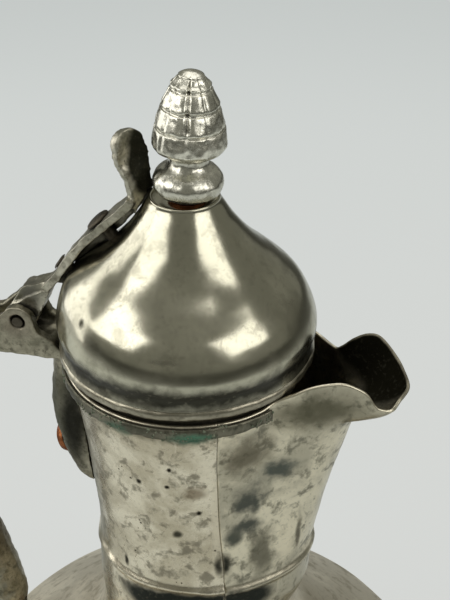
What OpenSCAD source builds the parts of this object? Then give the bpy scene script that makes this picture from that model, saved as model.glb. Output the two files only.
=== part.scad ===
// Dallah coffee pot: raised belly, two-panel neck with an open beak, domed
// lid on a handle-side hinge, cast finial, thumb lever and cast handle.
// Millimetres. The origin is the middle of the base, +Z up, beak to +X,
// handle to -X. The hinge pin lies along Y.

/* [Belly] */
// Largest outside radius of the belly, at the hip
hip_r = 104; // [96:0.5:112]
// Height of the hip above the base
hip_h = 36.5; // [32:0.5:40]
// Radius of the bend between shoulder and hip
hip_bend = 18; // [12:0.5:24]
// Radius of the bend between hip and base
foot_bend = 46; // [42:0.5:56]
// Outside radius of the waist
waist_r = 37.6; // [35:0.2:40]
// Height of the waist above the base
waist_h = 115; // [106:0.5:124]
// Radius of the hollow curve from the waist out to the shoulder
flare_bend = 28.4; // [22:0.5:34]
// Thickness of the belly sheet
belly_wall = 1.4; // [1:0.1:2]
// Thickness of the base disc
base_t = 1.6; // [1.2:0.1:2.4]

/* [Neck] */
// Height of the neck panels, from their foot to the rim
neck_h = 113.5; // [104:0.5:122]
// Outside radius of the mouth at the rim
mouth_r = 43.6; // [42:0.1:45]
// How far the mouth sits behind the belly's axis
mouth_set = 2.6; // [0:0.2:4]
// Thickness of the neck sheet
neck_wall = 1.3; // [1:0.1:1.8]
// How high up the neck starts to open towards the mouth, as a power
neck_flare = 5; // [3:0.1:6]
// How far the neck swells around its bead
neck_swell = 1; // [0:0.1:2]
// How far the neck bows towards the beak around its bead
neck_bow = 1.6; // [0:0.1:2]
// Height of the raised bead above the neck's foot
bead_up = 33; // [24:0.5:44]
// How far the bead stands out
bead_h = 1.4; // [1:0.1:2.4]
// Half width of the bead
bead_w = 1.7; // [1.2:0.1:2.6]
// Step in the bead where the two panels meet
bead_step = 1.6; // [0:0.1:2.5]
// Angle from the beak to each seam between the panels
seam_angle = 62; // [54:1:70]
// Length of the belly's collar inside the neck
collar_len = 12; // [6:0.5:20]
// Height of the band around the rim
band_h = 4.5; // [3:0.1:6]
// Thickness of the band around the rim
band_t = 1.2; // [0.8:0.1:1.8]
// Angle from the beak to each end of the band
band_end = 36; // [35:1:40]

/* [Beak] */
// Reach of the beak's tip from the middle of the mouth
beak_reach = 79.7; // [76:0.2:82]
// Reach of the beak's chin, where its underside meets the keel
chin_reach = 62; // [58:0.2:66]
// How far the keel steps out above the neck's foot
keel_step = 6.7; // [4:0.1:9]
// Depth of the chin below the rim
chin_drop = 13.5; // [12:0.5:16]
// Half width of the beak
beak_half = 14.5; // [13:0.1:15.5]
// Rise of the near lip's shoulder above the rim
near_lip = 5.8; // [4:0.1:7]
// Rise of the far lip above the rim
far_lip = 8.2; // [6:0.1:10]
// Fall of the pouring corner below the rim
pour_drop = 6.2; // [4:0.1:7]

/* [Lid] */
// Outside radius of the lid at its widest
dome_r = 46; // [44.5:0.1:47.5]
// Height of the dome's widest place above the lid's edge
dome_bulge_h = 12; // [10:0.5:14]
// Height of the dome's collar above the lid's edge
dome_h = 60.5; // [56:0.5:66]
// Outside radius of the collar that the finial stands on
collar_r = 12; // [11:0.2:14]
// Thickness of the dome sheet
dome_wall = 1.2; // [0.9:0.1:1.6]
// Outside radius of the lid's rolled edge
edge_r = 45.6; // [44:0.1:47]
// Height of the lid's rolled edge
edge_h = 4.2; // [3.4:0.1:5.2]
// Thickness of the plate that closes the lid
plate_t = 1.2; // [0.9:0.1:1.8]
// Gap between the rim of the neck and the lid's edge
lid_lift = 3.5; // [2:0.1:4]
// Outside radius of the sleeve that guides the lid into the mouth
sleeve_r = 40.4; // [39:0.1:41]
// Depth of the sleeve below the lid's edge
sleeve_h = 9; // [7:0.5:11]

/* [Finial] */
// Height of the finial above the dome's collar
finial_h = 43.5; // [38:0.5:50]
// Largest radius of the finial's cone
cone_r = 12.5; // [11:0.2:14]
// Radius of the finial's round foot
bulb_r = 12; // [10.5:0.2:13]
// Radius of the neck between foot and cone
stalk_r = 6.7; // [5.5:0.1:8]
// Lean of the finial towards the beak, in degrees
finial_lean = 2.5; // [0:0.5:4]
// Shift of the finial towards the beak
finial_shift = 1.2; // [0:0.1:1.6]
// Radius of the finial's tenon
tenon_r = 2.5; // [2:0.1:3]

/* [Hinge and strap] */
// Distance of the hinge pin behind the lid's axis
pin_back = 60.7; // [58:0.2:64]
// Height of the hinge pin above the lid's edge
pin_up = 5.9; // [5:0.1:7]
// Radius of the hinge pin
pin_r = 2; // [1.6:0.1:2.4]
// Radius of the ears on the handle
ear_r = 6.4; // [6:0.1:7.4]
// Thickness of each ear
ear_t = 4; // [3:0.1:5]
// Width of the lug on the lid between the ears
lobe_w = 9; // [7:0.2:11]
// Radius of the lug around the pin
lobe_r = 5.8; // [5:0.1:6.6]
// Radius of the hump above the pin
hump_r = 4.9; // [4.4:0.1:5.4]
// Width of the hump
hump_w = 7.4; // [6:0.2:9]
// Width of the strap over the dome
strap_w = 12; // [11:0.2:13]
// Thickness of the strap at its near edge
strap_t = 3.4; // [3:0.1:4]
// Width of the thumb piece
thumb_w = 12.6; // [11:0.1:14]
// Height of the thumb piece above the strap's end
thumb_h = 25; // [22:0.5:28]
// Thickness of the thumb piece
thumb_t = 3.8; // [3.4:0.1:4.6]
// Turn of the thumb piece about the upright, in degrees
thumb_turn = 44; // [30:1:50]
// Lean of the thumb piece away from the finial, in degrees
thumb_lean = 13; // [8:1:16]
// Depth of the hollow in the thumb piece's front
thumb_hollow = 1.2; // [0.6:0.1:1.5]

/* [Handle] */
// Height of the handle's arm
arm_h = 11; // [9:0.5:13]
// How far the grip's middle line stands out from the pin
grip_out = 46; // [40:0.5:54]
// Thickness of the grip, towards the pot
grip_t = 19; // [16:0.5:22]
// Width of the grip, across the pot
grip_w = 20; // [17:0.5:23]
// Length of the leaf below the arm
leaf_len = 57.5; // [57:0.5:58]
// Width of the leaf towards its tip
leaf_w = 27; // [24:0.5:28]
// How far the leaf's middle stands off the neck
leaf_out = 14; // [12.5:0.1:15]
// Depth of the flat seat under the leaf rivet's head
leaf_seat = 1.2; // [0.8:0.1:1.5]
// Distance of the lower lug from the belly's axis
lug_r = 82; // [78:0.5:85]
// Length of the lower lug
lug_len = 42; // [38:0.5:46]
// Distance between the lower lug's rivets
lug_pitch = 30; // [28:0.5:31]
// Width of the lower lug
lug_w = 24; // [20:0.5:28]
// Thickness of the lower lug
lug_t = 4; // [3:0.1:5]

/* [Rivets] */
// Radius of the leaf rivet's head
big_head_r = 6.2; // [5:0.1:7]
// Thickness of the leaf rivet's head
big_head_t = 3.6; // [3:0.1:4]
// Radius of the lug rivets' heads
head_r = 4.2; // [3.4:0.1:4.8]
// Thickness of the lug rivets' heads
head_t = 2; // [1.4:0.1:2.6]
// Radius of the head of the strap's upper rivet
flake_r = 4.6; // [4:0.1:5]
// Thickness of that head
flake_t = 1.3; // [1:0.1:1.8]
// Radius of the head of the strap's lower rivet
stud_r = 3; // [2.8:0.1:3.6]
// Thickness of that head
stud_t = 0.8; // [0.6:0.1:1.2]
// Radius of a rivet's shank
shank_r = 2.3; // [1.8:0.1:2.6]
// Radius of the washer under a rivet's inner end
rove_r = 4.6; // [4:0.1:5.4]
// Thickness of that washer
rove_t = 1; // [0.8:0.1:1.4]

/* [Fits] */
// Radial clearance of a rivet or tenon in its hole
rivet_fit = 0.05; // [0.03:0.01:0.1]
// Radial clearance of the hinge pin
pin_fit = 0.05; // [0.03:0.01:0.08]
// Gap between brazed or soldered sheets
braze = 0.3; // [0.2:0.05:0.4]
// Side clearance of the lug between the ears, each side
ear_gap = 0.5; // [0.3:0.05:0.8]

/* [Hidden] */
$fn = 96;
eps = 0.01;

// Heights and places that follow from the sizes above
foot_z = waist_h - 2;
rim_z = foot_z + neck_h;
edge_z = rim_z + lid_lift;
bead_z = foot_z + bead_up;
mouth_x = -mouth_set;
pin_x = mouth_x - pin_back;
pin_z = edge_z + pin_up;
collar_z = edge_z + dome_h;

function lerp(a, b, t) = a + (b - a) * t;
function smooth(t) = let (u = min(1, max(0, t))) u * u * (3 - 2 * u);
function bump(x, w) = exp(-pow(x / w, 2));
function unit(v) = v / norm(v);
// Point i of a smooth curve through the points p, each stretch cut in n
function spline_at(p, i, t) =
    let (n = len(p) - 1,
         a = p[max(i - 1, 0)], b = p[i], c = p[min(i + 1, n)], d = p[min(i + 2, n)])
    0.5 * (2 * b + (c - a) * t + (2 * a - 5 * b + 4 * c - d) * t * t
           + (3 * b - a - 3 * c + d) * t * t * t);
function spline(p, n) =
    [for (i = [0 : len(p) - 2]) for (k = [0 : n - 1]) spline_at(p, i, k / n), p[len(p) - 1]];
// Unit normal of a plane curve at point i, to the left of its direction
function side(p, i) =
    let (d = unit(p[min(i + 1, len(p) - 1)] - p[max(i - 1, 0)])) [-d[1], d[0]];
// A strip of thickness t, whose right-hand edge is the curve p
function strip(p, t) = concat(p, [for (i = [len(p) - 1 : -1 : 0]) p[i] + t * side(p, i)]);

// ---------------------------------------------------------------- belly
flare_c = [waist_r + flare_bend, waist_h];
hip_c = [hip_r - hip_bend, hip_h];
foot_c = [hip_r - foot_bend, hip_h];
// Angle of the straight shoulder's outward normal above the horizontal
shoulder_a = atan2(flare_c[1] - hip_c[1], flare_c[0] - hip_c[0])
    - acos((flare_bend + hip_bend) / norm(flare_c - hip_c));
// Height of the shoulder's outside at radius r, on its straight part
function shoulder_z(r) =
    hip_c[1] + (hip_bend - (r - hip_c[0]) * cos(shoulder_a)) / sin(shoulder_a);

// The belly's outline, moved inwards by d, from the waist down to the base
function belly_side(d) = concat(
    [for (k = [0 : 8]) let (a = 180 + k / 8 * shoulder_a)
        flare_c + (flare_bend + d) * [cos(a), sin(a)]],
    [for (k = [0 : 10]) let (a = lerp(shoulder_a, 0, k / 10))
        hip_c + (hip_bend - d) * [cos(a), sin(a)]],
    [for (k = [1 : 10]) let (a = -k / 10 * asin(hip_h / (foot_bend - d)))
        foot_c + (foot_bend - d) * [cos(a), sin(a)]]);
base_edge_r = foot_c[0] + sqrt(pow(foot_bend - belly_wall, 2) - pow(hip_h, 2));
collar_out = waist_r - neck_wall - braze;

module lower_body() {
    outer = belly_side(0);
    inner = belly_side(belly_wall);
    color("silver") difference() {
        rotate_extrude() polygon(concat(
            [[collar_out - belly_wall, foot_z + collar_len],
             [collar_out, foot_z + collar_len],
             [collar_out, foot_z], [waist_r, foot_z]],
            [for (p = outer) if (p[1] < foot_z - eps) p],
            [for (i = [len(inner) - 1 : -1 : 0]) if (inner[i][1] < foot_z - eps) inner[i]],
            [[collar_out - belly_wall, foot_z - 1]]));
        for (u = [-1, 1]) lug_place(u) shank_hole();
    }
}

module base_disc() {
    color("silver") cylinder(r = base_edge_r - braze, h = base_t);
}

// ---------------------------------------------------------------- neck
// Height above the foot as a share of the neck
function up(z) = (z - foot_z) / neck_h;
// Middle of the neck at height z: it moves back towards the mouth and bows
function neck_x(z) = mouth_x * up(z) + neck_bow * (bump(z - bead_z - 4, 22) - bump(bead_up + 4, 22));
// Outside radius of the neck at height z, without its bead
function neck_r(z) = waist_r + (mouth_r - waist_r) * pow(max(0, up(z)), neck_flare)
    + neck_swell * bump(z - foot_z - 25, 17);
function bead(z, shift) = bead_h * bump(z - bead_z - shift, bead_w);
// Where the neck's back wall stands at height z
function wall_x(z) = neck_x(z) - neck_r(z);

// Heights of the rings of both panels: close together at the bead
bead_rings = [-3.2, -1.9, -0.9, 0, 0.9, 1.9, 3.2];
lower_rings = concat([foot_z, foot_z + bead_up * 0.4, foot_z + bead_up * 0.75],
    [for (d = bead_rings) bead_z + d]);

// Closed sheet between an outer grid of points and the same grid moved in by t
module sheet(grid, t) {
    rows = len(grid);
    cols = len(grid[0]);
    function at(j, i) = grid[min(max(j, 0), rows - 1)][min(max(i, 0), cols - 1)];
    inner = [for (j = [0 : rows - 1]) [for (i = [0 : cols - 1])
        let (n = unit(cross(at(j, i + 1) - at(j, i - 1), at(j + 1, i) - at(j - 1, i))),
             q = at(j, i) - t * n)
        j == 0 ? [q[0], q[1], at(0, i)[2]] : q]];
    pts = concat([for (r = grid) for (p = r) p], [for (r = inner) for (p = r) p]);
    m = rows * cols;
    function id(j, i) = j * cols + i;
    quads = concat(
        [for (j = [0 : rows - 2]) for (i = [0 : cols - 2])
            [id(j, i), id(j + 1, i), id(j + 1, i + 1), id(j, i + 1)]],
        [for (j = [0 : rows - 2]) for (i = [0 : cols - 2])
            [m + id(j, i), m + id(j, i + 1), m + id(j + 1, i + 1), m + id(j + 1, i)]],
        [for (j = [0 : rows - 2])
            [id(j, 0), m + id(j, 0), m + id(j + 1, 0), id(j + 1, 0)]],
        [for (j = [0 : rows - 2])
            [id(j, cols - 1), id(j + 1, cols - 1), m + id(j + 1, cols - 1), m + id(j, cols - 1)]],
        [for (i = [0 : cols - 2]) [id(0, i), id(0, i + 1), m + id(0, i + 1), m + id(0, i)]],
        [for (i = [0 : cols - 2])
            [id(rows - 1, i), m + id(rows - 1, i), m + id(rows - 1, i + 1), id(rows - 1, i + 1)]]);
    // Each quad is cut in two, so that every face is flat
    polyhedron(points = pts, faces = [for (q = quads) each [[q[0], q[1], q[2]], [q[0], q[2], q[3]]]]);
}

seam_gap = braze / waist_r * 180 / PI / 2;

module neck_panel() {
    cols = 44;
    rings = concat(lower_rings, [for (k = [1 : 8]) lerp(bead_z + 3.2, rim_z, k / 8)]);
    grid = [for (z = rings) [for (i = [0 : cols])
        let (a = lerp(seam_angle + seam_gap, 360 - seam_angle - seam_gap, i / cols),
             r = neck_r(z) + bead(z, bead_step / 2))
        [neck_x(z) + r * cos(a), r * sin(a), z]]];
    color("silver") difference() {
        sheet(grid, neck_wall);
        leaf_rivet_place() shank_hole();
    }
}

// ---------------------------------------------------------------- beak
chin_z = rim_z - chin_drop;
// Reach of the keel from the neck's middle line, up to the chin
function keel(z) = waist_r + keel_step * smooth((z - foot_z) / 20)
    + (chin_reach - waist_r - keel_step) * pow(max(0, (z - bead_z - 2) / (chin_z - bead_z - 2)), 1.1);
// Radius of the panel at angle a and height z, between the foot and the chin:
// the nose narrows on its way up
function panel_r(a, z) =
    neck_r(z) + (keel(z) - neck_r(z)) * pow(cos(90 * a / seam_angle), lerp(2, 5, smooth(up(z) * 1.1)));
// Lip of the beak, from the near side round the tip to the far side: reach
// from the mouth's middle, place across it, and height above the rim
lip_line = [[mouth_r * cos(41), -mouth_r * sin(41), 0],
    [beak_reach - 42.4, -beak_half - 10.5, near_lip * 0.25],
    [beak_reach - 32.7, -beak_half - 5, near_lip * 0.9],
    [beak_reach - 22.5, -beak_half - 0.5, near_lip],
    [beak_reach - 16.2, -beak_half + 1, near_lip * 0.55],
    [beak_reach - 13, -beak_half + 1.5, near_lip * 0.1],
    [beak_reach - 9.8, -beak_half + 2, -pour_drop * 0.7],
    [beak_reach - 4.7, -beak_half + 4.5, -pour_drop],
    [beak_reach - 2.4, -beak_half + 7.5, -pour_drop * 0.6],
    [beak_reach, -3, 0],
    [beak_reach - 2.7, 5, far_lip * 0.17],
    [beak_reach - 6.6, beak_half - 4.5, far_lip * 0.52],
    [beak_reach - 12.2, beak_half - 1, far_lip],
    [beak_reach - 16.9, beak_half, far_lip],
    [beak_reach - 21.8, beak_half + 0.5, far_lip * 0.65],
    [beak_reach - 26.1, beak_half + 1.5, 0.5],
    [beak_reach - 28.6, beak_half + 3, -1.2],
    [beak_reach - 36.7, beak_half + 5.5, near_lip * 0.5],
    [mouth_r * cos(36) + 0.6, mouth_r * sin(36) + 0.5, near_lip * 0.2],
    [mouth_r * cos(42), mouth_r * sin(42), 0]];
lip_curve = [for (p = spline(lip_line, 4)) [atan2(p[1], p[0]), norm([p[0], p[1]]), p[2]]];
// Radius of the lip and its height above the rim at angle a from the beak
function lip_r(a) = abs(a) > 41 ? mouth_r : lookup(a, [for (p = lip_curve) [p[0], p[1]]]);
function lip(a) = abs(a) > 41 ? 0 : lookup(a, [for (p = lip_curve) [p[0], p[2]]]);

module spout_panel() {
    half = 27;
    // Angles run closer together towards the beak
    angles = [for (i = [-half : half]) let (s = i / half)
        sign(s) * (seam_angle - seam_gap) * (0.45 * abs(s) + 0.55 * pow(abs(s), 3))];
    body_rings = concat(lower_rings, [for (k = [1 : 6]) lerp(bead_z + 3.2, chin_z, k / 6)]);
    body = [for (z = body_rings) [for (a = angles)
        let (r = panel_r(a, z) + bead(z, -bead_step / 2))
        [neck_x(z) + r * cos(a), r * sin(a), z]]];
    chin = body[len(body) - 1];
    // Ribs of the beak: flattened quarter ellipses from the chin out to the lip
    lips = [for (j = [1 : 7]) let (q = 90 * j / 7) [for (i = [0 : 2 * half])
        let (a = angles[i], c = chin[i], r = lip_r(a),
             t = [mouth_x + r * cos(a), r * sin(a), rim_z + lip(a)],
             // Away from the nose the rib stands straight up
             w = smooth((abs(a) - 26) / 12),
             e = lerp((sin(q) + j / 7) / 2, 1 - cos(q), w), h = lerp((1 - cos(q) + j / 7) / 2, j / 7, w),
             z = lerp(c[2], t[2], h), side_r = neck_r(min(z, rim_z)))
        [lerp(lerp(c[0], t[0], e), neck_x(min(z, rim_z)) + side_r * cos(a), w),
         lerp(lerp(c[1], t[1], e), side_r * sin(a), w), z]]];
    color("silver") sheet(concat(body, lips), neck_wall);
}

module rim_band() {
    leaf_a = asin((ear_out + 1.5) / mouth_r);
    color("silver") translate([mouth_x, 0, rim_z - band_h])
        for (m = [0, 1]) mirror([0, m, 0]) rotate([0, 0, band_end])
            rotate_extrude(angle = 180 - leaf_a - band_end)
                translate([mouth_r + braze, 0]) square([band_t, band_h]);
}

// ---------------------------------------------------------------- handle
ear_in = lobe_w / 2 + ear_gap;
ear_out = ear_in + ear_t;
arm_z = pin_z - 14;                 // underside of the arm
leaf_top = arm_z + 3;
leaf_end = arm_z - leaf_len;
// How far the leaf's middle stands out, from its top to its tip: place along
// it, and share of leaf_out
leaf_rise = [[0, 0.6], [0.16, 0.72], [0.31, 0.92], [0.5, 1], [0.65, 0.94], [0.83, 0.71], [0.93, 0.42], [1, 0.1]];
// Outermost line of the leaf, down its middle
leaf_ridge = spline([for (q = leaf_rise) let (z = lerp(leaf_top, leaf_end, q[0])) [wall_x(z) - braze - leaf_out * q[1], z]], 4);
// The leaf rivet's seat, and its direction into the pot
rivet_dir = side(leaf_ridge, 18);
rivet_spot = leaf_ridge[18] + (leaf_seat - 0.1) * rivet_dir;

// Middle line of the grip, from the arm round to the lower lug
lug_z = shoulder_z(lug_r);
grip_x = pin_x - grip_out;
grip_line = spline([[pin_x - 8, arm_z + arm_h / 2], [pin_x - 22, arm_z + arm_h / 2 + 0.5],
    [lerp(pin_x, grip_x, 0.8), arm_z - 3], [grip_x, arm_z - 24],
    [lerp(grip_x, -lug_r, 0.12), lerp(arm_z, lug_z, 0.36)],
    [lerp(grip_x, -lug_r, 0.5), lerp(arm_z, lug_z, 0.6)],
    [lerp(grip_x, -lug_r, 0.84), lerp(arm_z, lug_z, 0.8)],
    [-lug_r - 2.5, lerp(arm_z, lug_z, 0.92)], [-lug_r + 1, lug_z + 2]], 6);
// Half thickness of the grip along its length, 0 at the arm and 1 at the lug
function grip_half(s) = lerp(arm_h / 2, grip_t / 2, smooth(s / 0.3)) * (1 - 0.32 * smooth((s - 0.72) / 0.2));
function grip_wide(s) = lerp(ear_out - 0.4, grip_w / 2, smooth(s / 0.3)) * (1 - 0.2 * smooth((s - 0.75) / 0.2));

// Places a rivet's axis: +Z runs into the pot from the outer face of the leaf
module leaf_rivet_place() {
    translate([rivet_spot[0], 0, rivet_spot[1]])
        rotate([0, atan2(rivet_dir[0], rivet_dir[1]), 0]) children();
}
// The lower lug's frame: +Z is the outward normal of the shoulder, u from -1
// (up the shoulder) to 1 (down it) moves along the lug
module lug_place(u) {
    translate([-lug_r, 0, lug_z]) rotate([0, shoulder_a - 90, 0])
        translate([-u * lug_pitch / 2, 0, 0]) children();
}
module shank_hole() {
    translate([0, 0, -20]) cylinder(r = shank_r + rivet_fit, h = 40);
}

module grip() {
    sides = 20;
    n = len(grip_line);
    pts = [for (i = [0 : n - 1]) for (k = [0 : sides - 1])
        let (s = i / (n - 1), nrm = side(grip_line, i), a = 360 * k / sides,
             p = grip_line[i] + grip_half(s) * cos(a) * nrm)
        [p[0], grip_wide(s) * sin(a), p[1]]];
    polyhedron(points = pts, faces = concat(
        [[for (k = [sides - 1 : -1 : 0]) k]], [[for (k = [0 : sides - 1]) (n - 1) * sides + k]],
        [for (i = [0 : n - 2]) for (k = [0 : sides - 1]) let (k2 = (k + 1) % sides)
            each [[i * sides + k, (i + 1) * sides + k2, (i + 1) * sides + k],
                  [i * sides + k, i * sides + k2, (i + 1) * sides + k2]]]));
}

// Half width of the leaf along its length, 0 at the arm and 1 at the tip
function leaf_half(s) = lerp(ear_out, leaf_w / 2, smooth(s / 0.75)) * sqrt(1 - 0.9 * pow(max(0, s - 0.8) / 0.2, 2));

// Leaf: rounded outside, its back fitted to the neck
module leaf() {
    n = len(leaf_ridge);
    half = 8;
    pts = [for (i = [0 : n - 1]) let (z = leaf_ridge[i][1], w = leaf_half((leaf_top - z) / (leaf_top - leaf_end)),
               out = wall_x(z) - braze - leaf_ridge[i][0])
        each concat(
            [for (k = [-half : half]) let (a = 90 * k / half, y = w * sin(a))
                [neck_x(z) - sqrt(pow(neck_r(z) + braze, 2) - y * y) - out * pow(abs(cos(a)), 0.8) - 0.2, y, z]],
            [for (k = [half - 1 : -1 : 1 - half]) let (y = w * sin(90 * k / half))
                [neck_x(z) - sqrt(pow(neck_r(z) + braze, 2) - y * y), y, z]])];
    m = 4 * half;
    polyhedron(points = pts, faces = concat(
        [[for (k = [0 : m - 1]) k]], [[for (k = [m - 1 : -1 : 0]) (n - 1) * m + k]],
        [for (i = [0 : n - 2]) for (k = [0 : m - 1]) let (k2 = (k + 1) % m)
            each [[i * m + k, (i + 1) * m + k, (i + 1) * m + k2],
                  [i * m + k, (i + 1) * m + k2, i * m + k2]]]));
}

module handle() {
    front = wall_x(leaf_top) - braze - band_t;
    ear_x = pin_x + ear_r * cos(20);
    color("darkgray") difference() {
        union() {
            // Arm with its two ears
            rotate([90, 0, 0]) linear_extrude(2 * ear_out, center = true) union() {
                translate([pin_x, pin_z]) circle(r = ear_r);
                polygon([[front, arm_z], [front, rim_z - 0.5], [front - 2.6, edge_z - 1],
                         [ear_x + 1.4, pin_z - 3], [pin_x + ear_r * cos(20), pin_z + ear_r * sin(20)],
                         [pin_x - ear_r * cos(35), pin_z + ear_r * sin(35)],
                         [pin_x - ear_r - 5, arm_z + arm_h + 1], [pin_x - 16, arm_z + arm_h],
                         [pin_x - 16, arm_z]]);
            }
            grip();
            leaf();
            // Lower lug on the shoulder
            translate([-lug_r, 0, lug_z]) rotate([0, shoulder_a - 90, 0])
                translate([0, 0, braze]) linear_extrude(lug_t) polygon(
                    [for (a = [0 : 12 : 348]) [lug_len / 2 * cos(a), lug_w / 2 * sin(a) * (0.85 + 0.15 * cos(a))]]);
        }
        // Slot for the lid's lug and its hump
        rotate([90, 0, 0]) linear_extrude(2 * ear_in, center = true) polygon([
            [pin_x + 25, pin_z + 20], [pin_x + 25, arm_z + 8.5], [front + 0.5, arm_z + 8.5],
            [pin_x - 6, arm_z + 7], [pin_x - 19, arm_z + 7], [pin_x - 24, pin_z + 20]]);
        translate([pin_x, 0, pin_z]) rotate([90, 0, 0]) {
            cylinder(r = pin_r + pin_fit, h = 60, center = true);
            for (m = [0, 1]) mirror([0, 0, m]) translate([0, 0, ear_out - 1.3])
                cylinder(r = pin_r + 0.9, h = 5);
        }
        leaf_rivet_place() shank_hole();
        leaf_rivet_place() translate([0, 0, 0.1 - 12]) cylinder(r = big_head_r + 0.4, h = 12);
        for (u = [-1, 1]) lug_place(u) shank_hole();
        // Keeps the grip's foot above the shoulder
        translate([-lug_r, 0, lug_z]) rotate([0, shoulder_a - 90, 0])
            translate([-lug_len / 2, -lug_w / 2, braze - 12]) cube([lug_len, lug_w, 12]);
    }
}

module hinge_pin() {
    color("chocolate") translate([pin_x, 0, pin_z]) rotate([90, 0, 0])
        cylinder(r = pin_r, h = 2 * ear_out - 1, center = true);
}

// A rivet along +Z: head from z = -head to 0, shank to depth d, burr of radius b
module rivet(hr, ht, d, b) {
    color("peru") {
        translate([0, 0, -ht]) rotate_extrude() polygon([[0, 0], [hr * 0.62, 0],
            [hr * 0.9, ht * 0.3], [hr, ht * 0.7], [hr, ht], [0, ht]]);
        translate([0, 0, -eps]) cylinder(r = shank_r, h = d + eps);
        translate([0, 0, d]) cylinder(r = b, h = 1);
    }
}
module rove() {
    color("peru") difference() {
        cylinder(r = rove_r, h = rove_t);
        translate([0, 0, -1]) cylinder(r = shank_r + rivet_fit, h = rove_t + 2);
    }
}

// Depth from the leaf's outer face, along the rivet, to the inside of the neck
leaf_depth = (wall_x(rivet_spot[1] + 3) + neck_wall + 1.7 - rivet_spot[0]) / rivet_dir[0];
module leaf_rivet() { leaf_rivet_place() rivet(big_head_r, big_head_t, leaf_depth + rove_t, shank_r + 1); }
module leaf_rove() { leaf_rivet_place() translate([0, 0, leaf_depth]) rove(); }

lug_depth = lug_t + braze + belly_wall + 0.3;
module lug_rivet(u) {
    lug_place(u) translate([0, 0, lug_t + braze]) mirror([0, 0, 1])
        rivet(head_r, head_t, lug_depth + rove_t, shank_r + 0.8);
}
module lug_rove(u) {
    lug_place(u) translate([0, 0, lug_t + braze - lug_depth]) mirror([0, 0, 1]) rove();
}
module lug_rivet_upper() { lug_rivet(-1); }
module lug_rivet_lower() { lug_rivet(1); }
module lug_rove_upper() { lug_rove(-1); }
module lug_rove_lower() { lug_rove(1); }

// ---------------------------------------------------------------- lid
// Outside of the dome: radius and height above the lid's edge
dome_side = spline([[edge_r - 0.7, edge_h], [dome_r - 0.2, dome_bulge_h * 0.75],
    [dome_r, dome_bulge_h], [lerp(collar_r, dome_r, 0.946), dome_h * 0.35],
    [lerp(collar_r, dome_r, 0.856), dome_h * 0.445], [lerp(collar_r, dome_r, 0.67), dome_h * 0.545],
    [lerp(collar_r, dome_r, 0.465), dome_h * 0.645], [lerp(collar_r, dome_r, 0.294), dome_h * 0.745],
    [lerp(collar_r, dome_r, 0.156), dome_h * 0.845], [lerp(collar_r, dome_r, 0.06), dome_h * 0.93],
    [collar_r, dome_h - 1]], 3);
function dome_in(i) = let (p = dome_side[i] + dome_wall * side(dome_side, i)) [max(p[0], 5), p[1]];

module dome_solid() {
    n = len(dome_side) - 1;
    rotate_extrude() polygon(concat(
        [[edge_r - 0.7, edge_h]], [for (i = [1 : n]) dome_side[i]],
        [[collar_r + 0.4, dome_h], [0, dome_h], [0, dome_h - dome_wall]],
        [[collar_r - dome_wall - 0.5, dome_h - dome_wall]],
        [for (i = [n - 1 : -1 : 1]) dome_in(i)], [[edge_r - 0.7 - dome_wall, edge_h]]));
}

module lid_dome() {
    color("silver") difference() {
        translate([mouth_x, 0, edge_z]) dome_solid();
        translate([mouth_x + finial_shift, 0, collar_z - 5]) cylinder(r = tenon_r + rivet_fit, h = 10);
        for (k = [0, 1]) strap_rivet_place(k) shank_hole();
    }
}

module lid_plate() {
    color("silver") translate([mouth_x, 0, edge_z]) rotate_extrude() polygon([
        [0, 0], [edge_r - 1, 0], [edge_r - 0.3, 0.5], [edge_r, edge_h / 2], [edge_r - 0.3, edge_h - 0.5],
        [edge_r - 0.8, edge_h], [edge_r - 3.4, edge_h], [edge_r - 3.4, plate_t], [0, plate_t]]);
}

module lid_sleeve() {
    color("silver") translate([mouth_x, 0, edge_z - sleeve_h]) difference() {
        cylinder(r = sleeve_r, h = sleeve_h);
        translate([0, 0, -1]) cylinder(r = sleeve_r - neck_wall, h = sleeve_h + 2);
    }
}

// ---------------------------------------------------------------- finial
// Places what stands on the dome's collar: shifted and leaning to the beak
module finial_place() {
    translate([mouth_x + finial_shift, 0, collar_z]) rotate([0, finial_lean, 0]) children();
}
tiers = 4;
cone_z = finial_h * 0.4;            // underside of the cone
tier_h = (finial_h - cone_z - 3) / tiers;
bulb_h = finial_h * 0.25;           // height of the round foot
// Radius of the cone's outline a share t of the way up
function cone_at(t) = cone_r * (1 - 0.42 * t - 0.3 * pow(t, 4));
// Clear of the leaning seat at its lowest side
seat_up = (bulb_r * 0.4) * sin(finial_lean) + 0.1;

module finial() {
    color("silver") finial_place() {
        translate([0, 0, seat_up]) rotate_extrude() polygon(concat(
            [[0, 0], [bulb_r * 0.36, 0]],
            [for (a = [-70 : 14 : 70]) [bulb_r * (0.52 + 0.48 * cos(a * 0.98)), bulb_h * (0.5 + 0.5 * sin(a) / sin(70))]],
            [[stalk_r + 0.9, bulb_h + 1], [stalk_r, bulb_h + 2.6], [stalk_r + 0.6, cone_z - 1.6],
             [cone_r * 0.82, cone_z - 0.6]],
            [for (k = [0 : tiers - 1]) each [
                [cone_at(k / tiers), cone_z + k * tier_h + 1.2],
                [cone_at(k / tiers) - 0.2, cone_z + k * tier_h + 2.6],
                [cone_at((k + 0.85) / tiers) - 0.1, cone_z + (k + 0.82) * tier_h],
                [cone_at((k + 1) / tiers) - 0.9, cone_z + (k + 1) * tier_h]]],
            [[cone_at(1) * 0.62, finial_h - 1.4 - seat_up], [cone_at(1) * 0.3, finial_h - 0.4 - seat_up], [0, finial_h - seat_up]]));
    }
    // Tenon through the collar, with its hammered end under the washer
    color("silver") finial_tenon();
}
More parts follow.
